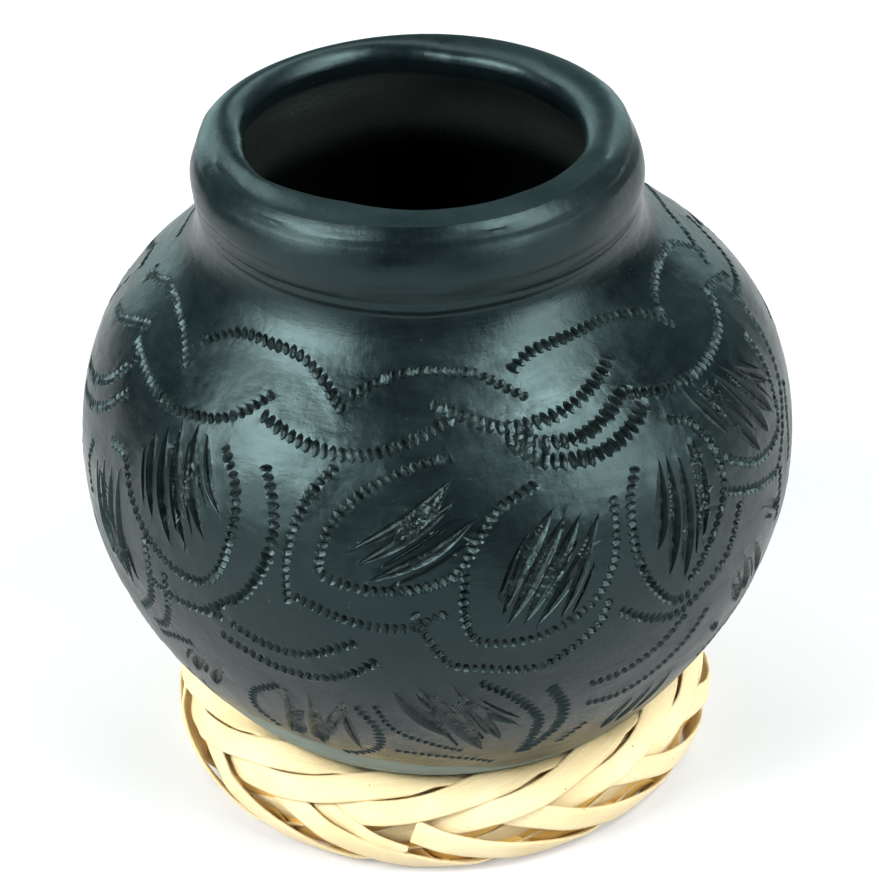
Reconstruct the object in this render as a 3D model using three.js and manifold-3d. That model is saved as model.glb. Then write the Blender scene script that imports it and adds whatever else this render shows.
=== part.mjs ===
// Small round pot of burnished black clay with a thick rolled lip, standing in a ring that is
// plaited from flat strips of split reed. Millimetres, +Z up. The origin is on the table under
// the middle of the belly, and the front of the pot looks along -Y.
import * as THREE from 'three';
import { mergeVertices } from 'three/addons/utils/BufferGeometryUtils.js';
import Module from 'manifold-3d';

const wasm = await Module();
wasm.setup();

// Clay pot, measured from its foot
const bellyRadius = 37.5;
const bellyDepth = 36.1;
const bellyFullness = 14.1;
const footFullness = 25.5;
const neckRadius = 22.6;
const neckRise = 26.9;
const shoulderFullness = 19.2;
const neckFullness = 7.2;
const neckSlope = 80;
const clayWall = 4;

// Rolled lip, measured from the top of the neck
const grooveDepth = 0.3;
const grooveRise = 1.3;
const lipRadius = 22.8;
const lipRise = 3.9;
const creaseRadius = 20.7;
const creaseRise = 9.2;
const mouthRadius = 17;
const mouthDrop = 0.45;
const mouthRounding = 1.1;
const throatRise = 3.2;

// Hand-built unevenness: the neck sits a little to one side of the belly and leans
const neckShift = -0.66;
const neckLean = 0.0194;
const leanStart = 2;

// Plaited ring: centre line of its section, and how far that reaches out. How far it reaches up
// and down goes with the height of the pot's underside there, so that the ring carries the pot.
const ringRadius = 25.3;
const ringHalfWidth = 4.7;
const ringUpShare = 0.519;
const ringDownShare = 0.6013;
const ringShift = -0.71;
const bights = 14;
const stripCount = 7;
const firstStripAngle = -30;

// One strip, and the room it keeps
const stripThickness = 0.55;
const sideGap = 0.52;
const layerGap = 1.25;
const coreGap = 0.3;
const bareInset = 0.6;
const bareFrom = 100;
const bareTo = 285;
const bareBlend = 30;
const pressSlope = 40.7;
const pressShare = 0.3906;
const endGap = 0.45;
const footFlat = 0.25;
const seatGap = 0.3;
const tableGap = 0.5;

// How finely the surfaces are divided
const potSegments = 56;
const beltSteps = 11;
const stripSteps = 76;
const coreSegments = 44;
const coreSides = 16;

// A strip's way across the band while it goes round: [degrees round the ring, degrees round
// the section]. 0 is the outermost line of the section and 90 its top.
const stripWay = [
  [0, 17.6],
  [24.2, 46.2],
  [53.1, 80.4],
  [61.6, 89],
  [72.6, 72.1],
  [91.2, 35.5],
  [125.9, -37.1],
  [135.1, -60.4],
  [142.7, -38.6],
];

// The same strip's layer: 1 lies outside, -1 inside
const stripLayer = [
  [1.8, -0.45],
  [12.1, 0.42],
  [16.6, 1],
  [49.7, 1],
  [65.3, -1],
  [86.7, -1],
  [91.1, -0.42],
  [101.8, 0.45],
  [107.1, 1],
  [129.4, 1],
  [148.8, -1],
  [167.4, -1],
  [177.2, -1],
];

// Each strip goes round once. Its ends meet under the others, except the fourth's, which
// meet in the open at the front.
const hiddenJoint = 78;
const openJoint = -73;
const openStrip = 4;

const wayPeriod = 360 / (bights / stripCount);
const clay = new THREE.MeshStandardMaterial({ color: 0x23282a, roughness: 0.34, metalness: 0.15 });
const reed = new THREE.MeshStandardMaterial({ color: 0xf0dfae, roughness: 0.4, metalness: 0 });
const reedInside = new THREE.MeshStandardMaterial({ color: 0xcda765, roughness: 0.7, metalness: 0 });

function toSolid(geometry) {
  const bare = geometry.clone();
  bare.deleteAttribute('normal');
  bare.deleteAttribute('uv');
  const merged = mergeVertices(bare, 1e-4);
  const index = Array.from(merged.index.array);
  const faces = [];
  for (let i = 0; i < index.length; i += 3) {
    const [a, b, c] = index.slice(i, i + 3);
    if (a !== b && b !== c && c !== a) faces.push(a, b, c);
  }
  const vertProperties = new Float32Array(merged.attributes.position.array);
  return new wasm.Manifold(new wasm.Mesh({
    numProp: 3,
    vertProperties,
    triVerts: new Uint32Array(faces),
  }));
}

function toGeometry(solid) {
  const mesh = solid.getMesh();
  const geometry = new THREE.BufferGeometry();
  geometry.setAttribute('position', new THREE.BufferAttribute(mesh.vertProperties, 3));
  geometry.setIndex(new THREE.BufferAttribute(mesh.triVerts, 1));
  geometry.computeVertexNormals();
  return geometry;
}

function smoothStep(x) {
  const t = Math.min(Math.max(x, 0), 1);
  return t * t * (3 - 2 * t);
}

// Belly below its widest line: one curve from the foot, where it is level, out and up
function lowerBelly(inset) {
  const radius = bellyRadius - inset;
  const share = radius / bellyRadius;
  const curve = new THREE.CubicBezierCurve(
    new THREE.Vector2(0, inset),
    new THREE.Vector2(footFullness * share, inset),
    new THREE.Vector2(radius, bellyDepth - bellyFullness * share),
    new THREE.Vector2(radius, bellyDepth),
  );
  return curve.getPoints(beltSteps);
}

// Shoulder: one curve from the widest line, where it is upright, up to the neck
function shoulder(widest, neck) {
  const slope = THREE.MathUtils.degToRad(neckSlope);
  const full = new THREE.Vector2(Math.cos(slope), -Math.sin(slope));
  const curve = new THREE.CubicBezierCurve(
    widest,
    new THREE.Vector2(widest.x, widest.y + shoulderFullness),
    full.multiplyScalar(neckFullness).add(neck),
    neck,
  );
  return curve.getPoints(beltSteps).slice(1);
}

function quarterArc(from, to, upFirst, steps) {
  const points = [];
  for (let i = 1; i <= steps; i += 1) {
    const angle = (i / steps) * (Math.PI / 2);
    const near = upFirst ? 1 - Math.cos(angle) : Math.sin(angle);
    const far = upFirst ? Math.sin(angle) : 1 - Math.cos(angle);
    points.push(new THREE.Vector2(
      from.x + (to.x - from.x) * near,
      from.y + (to.y - from.y) * far,
    ));
  }
  return points;
}

// The pot's own heights count from the underside of its foot
const bellyLine = bellyDepth;
const neckTop = bellyLine + neckRise;

function outerProfile() {
  const widest = new THREE.Vector2(bellyRadius, bellyLine);
  const neck = new THREE.Vector2(neckRadius, neckTop);
  const groove = new THREE.Vector2(neckRadius - grooveDepth, neckTop + grooveRise);
  const lip = new THREE.Vector2(lipRadius, neckTop + lipRise);
  const crease = new THREE.Vector2(creaseRadius, neckTop + creaseRise);
  return [
    ...lowerBelly(0),
    ...shoulder(widest, neck),
    groove,
    ...quarterArc(groove, lip, false, 3),
    ...quarterArc(lip, crease, true, 5),
  ];
}

function innerProfile() {
  const widest = new THREE.Vector2(bellyRadius - clayWall, bellyLine);
  const throat = new THREE.Vector2(neckRadius - clayWall, neckTop);
  const throatTop = new THREE.Vector2(throat.x, neckTop + throatRise);
  const mouthHeight = neckTop + creaseRise - mouthDrop;
  const mouthLow = new THREE.Vector2(mouthRadius, mouthHeight - mouthRounding);
  const mouthEdge = new THREE.Vector2(mouthRadius + mouthRounding, mouthHeight);
  return [
    ...lowerBelly(clayWall),
    ...shoulder(widest, throat),
    throatTop,
    mouthLow,
    ...quarterArc(mouthLow, mouthEdge, true, 3),
  ];
}

// The lathe turns the wall's closed outline: up the outside, over the lip and down the inside
function makePot() {
  const outline = [...outerProfile(), ...innerProfile().reverse()];
  const turned = new THREE.LatheGeometry(outline, potSegments);
  turned.rotateX(Math.PI / 2);
  const position = turned.attributes.position;
  const leanFrom = bellyLine + leanStart;
  const leanTo = neckTop + lipRise;
  for (let i = 0; i < position.count; i += 1) {
    const share = smoothStep((position.getZ(i) - leanFrom) / (leanTo - leanFrom));
    position.setX(i, position.getX(i) + neckShift * share);
    position.setZ(i, position.getZ(i) - neckLean * share * position.getX(i));
  }
  return toGeometry(toSolid(turned));
}

// A smooth curve through [place, value] pairs that repeats after one period
function repeatingCurve(pairs, period) {
  const n = pairs.length;
  const at = (k) => pairs[((k % n) + n) % n][0] + Math.floor(k / n) * period;
  const value = (k) => pairs[((k % n) + n) % n][1];
  const slope = (k) => {
    const before = (value(k) - value(k - 1)) / (at(k) - at(k - 1));
    const after = (value(k + 1) - value(k)) / (at(k + 1) - at(k));
    return before * after <= 0 ? 0 : (2 * before * after) / (before + after);
  };
  return (x) => {
    let p = ((x % period) + period) % period;
    if (p < at(0)) p += period;
    let k = 0;
    while (at(k + 1) < p) k += 1;
    const span = at(k + 1) - at(k);
    const t = (p - at(k)) / span;
    const t2 = t * t;
    const t3 = t2 * t;
    return value(k) * (2 * t3 - 3 * t2 + 1) + slope(k) * span * (t3 - 2 * t2 + t)
      + value(k + 1) * (3 * t2 - 2 * t3) + slope(k + 1) * span * (t3 - t2);
  };
}

const wayScale = wayPeriod / 180;
const scaledPairs = (pairs) => pairs.map(([place, value]) => [place * wayScale, value]);
const wayAt = repeatingCurve(scaledPairs(stripWay), wayPeriod);
const layerAt = repeatingCurve(scaledPairs(stripLayer), wayPeriod);

// The pot's underside: its height and steepness at a distance from the pot's middle
const underside = lowerBelly(0);

function undersideAt(radius) {
  const k = underside.findIndex((point, index) => index > 0 && point.x >= radius);
  const [low, high] = [underside[k - 1], underside[k]];
  const steepness = (high.y - low.y) / (high.x - low.x);
  return { height: low.y + steepness * (radius - low.x), steepness };
}

const clayOverRing = undersideAt(ringRadius).height;
const ringReachUp = ringUpShare * clayOverRing;
const ringReachDown = ringDownShare * clayOverRing;
const pressReach = pressShare * clayOverRing;

// The lanes side by side share the rise from the outermost line to the turn at the top
const [outermost, topTurn] = [stripWay[0], stripWay[3]];
const waySlope = (topTurn[1] - outermost[1]) / (topTurn[0] - outermost[0]);
const laneRise = THREE.MathUtils.degToRad(waySlope) * (360 / bights);
const laneWidth = laneRise * (ringHalfWidth + ringReachUp) / 2;
const stripWidth = laneWidth - sideGap;
const layerShift = (stripThickness + layerGap) / 2;

// Flat-oval section with a crowned outer face: [across, outwards] as shares of the strip
const stripSection = [
  [-0.5, -0.1],
  [-0.25, 0.5],
  [0.25, 0.5],
  [0.5, -0.1],
  [0.38, -0.5],
  [-0.38, -0.5],
];

// A point of the ring's section, so far inside its outline, and the way out from there
function sectionPoint(degrees, inset) {
  const section = THREE.MathUtils.degToRad(degrees);
  const reach = Math.sin(section) > 0 ? ringReachUp : ringReachDown;
  const out = new THREE.Vector2(
    Math.cos(section) / ringHalfWidth,
    Math.sin(section) / reach,
  ).normalize();
  const radius = ringRadius + ringHalfWidth * Math.cos(section) - inset * out.x;
  const height = reach * Math.sin(section) - inset * out.y;
  return { radius, height, out };
}

function bandPoint(angle, strip) {
  const phase = angle - (firstStripAngle + (360 / bights) * strip);
  const round = THREE.MathUtils.degToRad(angle);
  const inset = layerShift * (1 - layerAt(phase)) + stripThickness / 2;
  const { radius, height, out } = sectionPoint(wayAt(phase), inset);
  const side = new THREE.Vector3(Math.sin(round), -Math.cos(round), 0);
  return {
    place: side.clone().multiplyScalar(radius).setZ(height),
    normal: side.clone().multiplyScalar(out.x).setZ(out.y),
  };
}

function makeStrip(strip) {
  const joint = strip === openStrip ? openJoint : hiddenJoint;
  const start = firstStripAngle + (360 / bights) * strip + joint * wayScale;
  const gapAngle = THREE.MathUtils.radToDeg(endGap / ringRadius);
  const step = (360 - gapAngle) / stripSteps;
  const count = stripSection.length;
  const positions = [];
  for (let i = 0; i <= stripSteps; i += 1) {
    const angle = start + gapAngle / 2 + step * i;
    const { place, normal } = bandPoint(angle, strip);
    const ahead = bandPoint(angle + step / 4, strip).place;
    const along = ahead.sub(bandPoint(angle - step / 4, strip).place).normalize();
    const out = normal.addScaledVector(along, -normal.dot(along)).normalize();
    const across = new THREE.Vector3().crossVectors(out, along);
    for (const [u, v] of stripSection) {
      const corner = place.clone();
      corner.addScaledVector(across, u * stripWidth);
      corner.addScaledVector(out, v * stripThickness);
      positions.push(corner.x, corner.y, corner.z);
    }
  }
  const faces = [];
  for (let i = 0; i < stripSteps; i += 1) {
    for (let j = 0; j < count; j += 1) {
      const a = i * count + j;
      const b = i * count + ((j + 1) % count);
      faces.push(a, a + count, b, b, a + count, b + count);
    }
  }
  const last = stripSteps * count;
  for (let j = 1; j < count - 1; j += 1) {
    faces.push(0, j, j + 1);
    faces.push(last, last + j + 1, last + j);
  }
  const geometry = new THREE.BufferGeometry();
  geometry.setAttribute('position', new THREE.Float32BufferAttribute(positions, 3));
  geometry.setIndex(faces);
  return geometry;
}

// The inner wraps, as one closed ring: under both layers of strips on the outside, and full on
// the inside, where no strip goes. Towards the pot they are pressed flat.
function makeCore() {
  const covered = 2 * layerShift + stripThickness + coreGap;
  const slope = THREE.MathUtils.degToRad(pressSlope);
  const towardsPot = new THREE.Vector2(-Math.sin(slope), Math.cos(slope));
  const outline = [];
  for (let i = 0; i <= coreSides; i += 1) {
    const degrees = (i / coreSides) * 360;
    const bare = smoothStep((degrees - bareFrom) / bareBlend)
      * smoothStep((bareTo - degrees) / bareBlend);
    const { radius, height } = sectionPoint(degrees, covered + (bareInset - covered) * bare);
    const place = new THREE.Vector2(radius - ringRadius, height);
    const excess = Math.max(place.dot(towardsPot) - pressReach, 0);
    place.addScaledVector(towardsPot, -excess);
    outline.push(new THREE.Vector2(ringRadius + place.x, place.y));
  }
  return new THREE.LatheGeometry(outline, coreSegments).rotateX(Math.PI / 2);
}

// The strips are sunk a little into the table, and what is below it is cut off flat
function plaitRing() {
  const strips = [];
  for (let strip = 0; strip < stripCount; strip += 1) strips.push(makeStrip(strip));
  const core = makeCore();
  let lowest = Infinity;
  for (const geometry of strips) {
    geometry.computeBoundingBox();
    lowest = Math.min(lowest, geometry.boundingBox.min.z);
  }
  const reach = 4 * ringRadius;
  const table = new THREE.BoxGeometry(reach, reach, reach).translate(0, 0, -reach / 2);
  const below = toSolid(table);
  return [...strips, core].map((geometry) => {
    geometry.translate(ringShift, 0, -lowest - footFlat);
    return toGeometry(toSolid(geometry).subtract(below));
  });
}

// The pot comes down into the ring until it meets the first strip, less the seat's clearance
function seatHeight(pieces) {
  let lift = tableGap;
  for (const geometry of pieces) {
    const position = geometry.attributes.position;
    for (let i = 0; i < position.count; i += 1) {
      const clay = undersideAt(Math.hypot(position.getX(i), position.getY(i)));
      const clearance = seatGap * Math.hypot(1, clay.steepness);
      lift = Math.max(lift, position.getZ(i) - clay.height + clearance);
    }
  }
  return lift;
}

const ringPieces = plaitRing();
const model = new THREE.Group();

const ring = new THREE.Group();
ringPieces.forEach((geometry, piece) => {
  const isStrip = piece < stripCount;
  const mesh = new THREE.Mesh(geometry, isStrip ? reed : reedInside);
  mesh.name = isStrip ? `ring_strip_${piece + 1}` : 'ring_core';
  ring.add(mesh);
});
model.add(ring);

const vase = new THREE.Mesh(makePot(), clay);
vase.name = 'vase';
vase.position.set(0, 0, seatHeight(ringPieces));
model.add(vase);

export default model;
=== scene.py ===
# %% [markdown]
# # A small black clay pot on a plaited reed ring
#
# The object is a miniature pot, about 75 mm across. It was built by hand from black clay, rubbed
# to a shine with a smooth stone, and fired in smoke. Its lip is rolled and its belly carries
# rows of small notches and fans of gouged strokes. It stands loose in a low ring that is plaited
# from pale strips of split reed.
#
# The measured model gives every size and place. This lesson dresses it: it models the carved
# clay and each strip of reed, gives them their finishes, and lights them as in a studio.

# %% Load the measured model
import math

import bpy
import numpy as np
from mathutils import Matrix, Vector
from mathutils.geometry import delaunay_2d_cdt


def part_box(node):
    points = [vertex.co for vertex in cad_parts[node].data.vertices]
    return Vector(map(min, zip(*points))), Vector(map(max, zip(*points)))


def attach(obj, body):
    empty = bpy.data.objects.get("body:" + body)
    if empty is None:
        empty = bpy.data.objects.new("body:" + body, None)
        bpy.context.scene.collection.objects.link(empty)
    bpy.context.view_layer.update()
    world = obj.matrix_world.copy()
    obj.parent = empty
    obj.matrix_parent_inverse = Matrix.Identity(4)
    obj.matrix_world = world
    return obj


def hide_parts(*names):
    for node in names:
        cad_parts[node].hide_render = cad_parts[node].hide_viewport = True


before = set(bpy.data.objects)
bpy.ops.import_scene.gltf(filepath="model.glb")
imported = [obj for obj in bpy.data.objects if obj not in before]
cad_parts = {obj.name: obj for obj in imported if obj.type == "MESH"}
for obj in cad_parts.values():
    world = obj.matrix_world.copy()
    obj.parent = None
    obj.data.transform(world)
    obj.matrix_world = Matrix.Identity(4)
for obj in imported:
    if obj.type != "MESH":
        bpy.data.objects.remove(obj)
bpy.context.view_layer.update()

MM = 0.001

# %% [markdown]
# ## The camera
#
# A real photograph is matched by placing the camera where the photographer stood. Here that
# place, the downward tilt and a slight roll were found by fitting the pot's outline, so they
# are simply written down.

# %% Put the camera where the photographer stood
CAMERA_PLACE = Vector((-0.71, -246.72, 200.42)) * MM
TILT, TURN, ROLL = 0.5925, 0.002, -0.0519
LENS = 111.96

ahead = Vector((math.sin(TURN) * math.cos(TILT), math.cos(TURN) * math.cos(TILT), -math.sin(TILT)))
level = ahead.cross(Vector((0, 0, 1))).normalized()
upright = level.cross(ahead)
across = level * math.cos(ROLL) + upright * math.sin(ROLL)
top = upright * math.cos(ROLL) - level * math.sin(ROLL)

camera_data = bpy.data.cameras.new("studio_camera")
camera_data.lens = LENS
camera_data.clip_start = 0.01
camera = bpy.data.objects.new("studio_camera", camera_data)
bpy.context.scene.collection.objects.link(camera)
camera.matrix_world = Matrix.Translation(CAMERA_PLACE) @ Matrix((across, top, -ahead)).transposed().to_4x4()
bpy.context.scene.camera = camera
print("camera looks", round(math.degrees(TILT), 1), "degrees down")

# %% [markdown]
# ## The floor
#
# The photograph is a shop picture on a white table. One large rough plane is enough for it, and
# it catches the shadow. Near the pot it glows a little, which lightens the shadow. Far off, where
# the light runs out, it glows more, but only for what the camera sees directly. In the pot's
# reflections it stays grey, as a real table does.
#
# Materials are built from nodes. A few small helpers make the usual ones, so that later cells say
# only what is special about a finish.

# %% Write helpers for nodes
def start_material(name):
    """A new material, with its nodes and its main shader."""
    material = bpy.data.materials.new(name)
    material.use_nodes = True
    tree = material.node_tree
    return material, tree, tree.nodes["Principled BSDF"]


def math_node(tree, operation, first, second):
    """One arithmetic step. Each operand is a number or another node's output."""
    node = tree.nodes.new("ShaderNodeMath")
    node.operation = operation
    for socket, operand in zip(node.inputs, (first, second)):
        if isinstance(operand, (int, float)):
            socket.default_value = operand
        else:
            tree.links.new(operand, socket)
    return node.outputs[0]


def spread(tree, value, low, high, new_low=0.0, new_high=1.0):
    """Stretches a value from one range to another, and holds it there."""
    node = tree.nodes.new("ShaderNodeMapRange")
    for socket, number in zip(list(node.inputs)[1:5], (low, high, new_low, new_high)):
        socket.default_value = number
    tree.links.new(value, node.inputs[0])
    return node.outputs[0]


def blend_colour(tree, amount, first, second):
    """Goes from the first colour to the second as the amount rises from 0 to 1."""
    node = tree.nodes.new("ShaderNodeMix")
    node.data_type = "RGBA"
    for socket, operand in ((node.inputs[0], amount), (node.inputs[6], first), (node.inputs[7], second)):
        if isinstance(operand, (int, float)):
            socket.default_value = operand
        elif isinstance(operand, tuple):
            socket.default_value = (*operand, 1)
        else:
            tree.links.new(operand, socket)
    return node.outputs[2]


print("node helpers:", [helper.__name__ for helper in (start_material, math_node, spread, blend_colour)])

# %% Lay the floor
FLOOR_SIZE, FLOOR_DROP = 6, 0.0002
FLOOR_GREY, FLOOR_ROUGHNESS = 0.42, 0.95


def deselect():
    """Leaves nothing chosen, because an operator acts on all that is chosen."""
    for thing in bpy.context.selected_objects:
        thing.select_set(False)


deselect()
bpy.ops.mesh.primitive_plane_add(size=FLOOR_SIZE, location=(0, 0, -FLOOR_DROP))
floor = bpy.context.object
floor.name = "floor"
bpy.ops.object.transform_apply(location=True)
white, tree, shader = start_material("floor_white")
shader.inputs["Base Color"].default_value = (FLOOR_GREY, FLOOR_GREY, FLOOR_GREY, 1)
shader.inputs["Roughness"].default_value = FLOOR_ROUGHNESS
shader.inputs["Emission Color"].default_value = (1, 1, 1, 1)
away = tree.nodes.new("ShaderNodeVectorMath")
away.operation = "LENGTH"
tree.links.new(tree.nodes.new("ShaderNodeTexCoord").outputs["Object"], away.inputs[0])
distance = away.outputs["Value"]
near_glow = spread(tree, distance, 0.22, 0.60, 0.20, 0.0)
seen = tree.nodes.new("ShaderNodeLightPath").outputs["Is Camera Ray"]
far_glow = math_node(tree, "MULTIPLY", spread(tree, distance, 0.25, 1.0), seen)
tree.links.new(math_node(tree, "ADD", near_glow, far_glow), shader.inputs["Emission Strength"])
floor.data.materials.append(white)
print("floor:", FLOOR_SIZE, "m wide")

# %% [markdown]
# ## Soft lights
#
# Burnished clay mirrors its surroundings, so its look comes from what stands round it. Large area
# lights give the broad, soft-edged shine that shows how round the clay is. Two strong ones stand
# to the front left and front right, with weaker ones beside them, overhead and behind. Only their
# numbers differ, so they stand in a table.

# %% Hang the soft lights
# Each light: its name, its angles round the pot and above the table in degrees, how far away it
# is and how high it aims in m, its width and height in m, its power in W, and its share of red
LIGHTS = [
    ("left", -64, 42, 0.6, 0.045, 0.34, 0.29, 6.1, 1),
    ("left_low", -56, 14, 0.6, 0.045, 0.30, 0.16, 0.9, 1),
    ("right", 58, 34, 0.6, 0.045, 0.31, 0.44, 4.5, 1),
    ("right_high", 62, 60, 0.6, 0.045, 0.22, 0.12, 2.0, 1),
    ("back", 180, 72, 0.9, 0.03, 0.8, 0.26, 2.3, 1),
    ("back_left", -150, 46, 0.7, 0.045, 0.30, 0.30, 1.1, 0.8),
    ("back_right", 150, 46, 0.7, 0.045, 0.30, 0.30, 1.2, 0.8),
    ("behind_left", -152, 16, 0.7, 0.045, 0.30, 0.34, 0.8, 0.72),
    ("behind_right", 152, 16, 0.7, 0.045, 0.30, 0.34, 0.55, 0.72),
]


def far_point(azimuth, elevation, distance):
    """A point seen from the pot at an angle round it and above the table."""
    a, e = math.radians(azimuth), math.radians(elevation)
    return Vector((math.sin(a) * math.cos(e), -math.cos(a) * math.cos(e), math.sin(e))) * distance


for name, azimuth, elevation, distance, aim_height, width, height, power, red in LIGHTS:
    light_data = bpy.data.lights.new(f"light_{name}", "AREA")
    light_data.shape = "RECTANGLE"
    light_data.size = width
    light_data.size_y = height
    light_data.energy = power
    light_data.color = (red, 1, 1)
    light = bpy.data.objects.new(f"light_{name}", light_data)
    bpy.context.scene.collection.objects.link(light)
    light.location = far_point(azimuth, elevation, distance)
    to_aim = Vector((0, 0, aim_height)) - light.location
    light.rotation_euler = to_aim.to_track_quat("-Z", "Y").to_euler()

# %% [markdown]
# ## The room
#
# The rest of the room is the world's own colour. In the pot's reflections it is dark in front and
# overhead, and paler and slightly blue-green low down at the back. Where the camera sees it
# directly it is a white backdrop.

# %% Paint the room
world = bpy.data.worlds.new("pale_room")
world.use_nodes = True
room = world.node_tree
way = room.nodes.new("ShaderNodeSeparateXYZ")
room.links.new(room.nodes.new("ShaderNodeTexCoord").outputs["Generated"], way.inputs[0])
towards_back = spread(room, way.outputs["Y"], 0.15, 0.9, 0.02, 0.24)
below_ceiling = spread(room, way.outputs["Z"], 0.5, 0.8, 1.0, 0.1)
mirrored = math_node(room, "MULTIPLY", towards_back, below_ceiling)
seen = room.nodes.new("ShaderNodeLightPath").outputs["Is Camera Ray"]
background = room.nodes["Background"]
room.links.new(math_node(room, "MAXIMUM", mirrored, seen), background.inputs["Strength"])
room.links.new(blend_colour(room, seen, (0.62, 1.0, 1.0), (1, 1, 1)), background.inputs["Color"])
bpy.context.scene.world = world
bpy.context.scene.view_settings.view_transform = "Standard"
print("room:", world.name, "with", len(room.nodes), "nodes")

# %% [markdown]
# ## The outline of the pot
#
# A thrown or coiled pot is a turned shape, so it could be made by spinning one outline. The
# plain parts are made that way. The belt with the ornament is different: every notch and stroke
# is real relief there, so it gets its own net of points. Both parts read the same outline, which
# is a few smooth curves with the sizes of the measured model.

# %% Draw the outline as smooth curves
BELLY_RADIUS, BELLY_DEPTH = 37.5, 36.1
NECK_RADIUS, NECK_TOP = 22.6, BELLY_DEPTH + 26.9
WALL = 4.0
# The clay lies this much inside the measured outline, so that raised edges stay within it
SKIN = 0.08
# How far the points lie that pull each curve into shape, and how steeply it meets the neck
FOOT_PULL, DOWN_PULL, UP_PULL, NECK_PULL = 25.5, 14.1, 19.2, 7.2
NECK_SLOPE = math.radians(80)
# The underside sags a little: how far, at what height, and how widely
SAG, SAG_HEIGHT, SAG_SPREAD = 0.6, 10.6, 3.3
LOWER_COUNT, UPPER_COUNT = 600, 500
WIDEST = LOWER_COUNT - 1
pot_low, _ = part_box("vase")
SEAT = pot_low.z / MM


def curve(a, b, c, d, count):
    """Points on the smooth curve that leaves a towards b and reaches d from c."""
    t = np.linspace(0, 1, count)[:, None]
    a, b, c, d = (np.array(p, float) for p in (a, b, c, d))
    return a * (1 - t) ** 3 + 3 * b * t * (1 - t) ** 2 + 3 * c * t * t * (1 - t) + d * t ** 3


def lower_curve(inset, count):
    """From the middle of the foot up to the widest line."""
    radius = BELLY_RADIUS - inset
    share = radius / BELLY_RADIUS
    return curve((0, inset), (FOOT_PULL * share, inset), (radius, BELLY_DEPTH - DOWN_PULL * share),
                 (radius, BELLY_DEPTH), count)


def upper_curve(radius, neck, count):
    """From the widest line up to the top of the neck."""
    lean_in = (neck + NECK_PULL * math.cos(NECK_SLOPE), NECK_TOP - NECK_PULL * math.sin(NECK_SLOPE))
    return curve((radius, BELLY_DEPTH), (radius, BELLY_DEPTH + UP_PULL), lean_in, (neck, NECK_TOP), count)


fine = np.concatenate([lower_curve(0, LOWER_COUNT), upper_curve(BELLY_RADIUS, NECK_RADIUS, UPPER_COUNT)[1:]])
fine[:, 0] = np.maximum(fine[:, 0] - SKIN, 0)
fine[:, 1] -= SAG * np.exp(-((fine[:, 1] - SAG_HEIGHT) / SAG_SPREAD) ** 2)
steps = np.linalg.norm(np.diff(fine, axis=0), axis=1)

# Two ways to say where a point of the outline lies: arc is its distance from the widest line in
# mm, and flat is its height on a map where one unit across is one radian round the pot
arc = np.concatenate([[0], np.cumsum(steps)])
arc -= arc[WIDEST]
middle = np.maximum((fine[1:, 0] + fine[:-1, 0]) / 2, 1e-3)
flat = np.concatenate([[0], np.cumsum(steps / middle)])
flat -= flat[WIDEST]
slope = np.gradient(fine, axis=0)
slope /= np.linalg.norm(slope, axis=1)[:, None]
print("outline is", round(-arc[0], 1), "mm long below the belly and", round(arc[-1], 1), "mm above")
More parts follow.
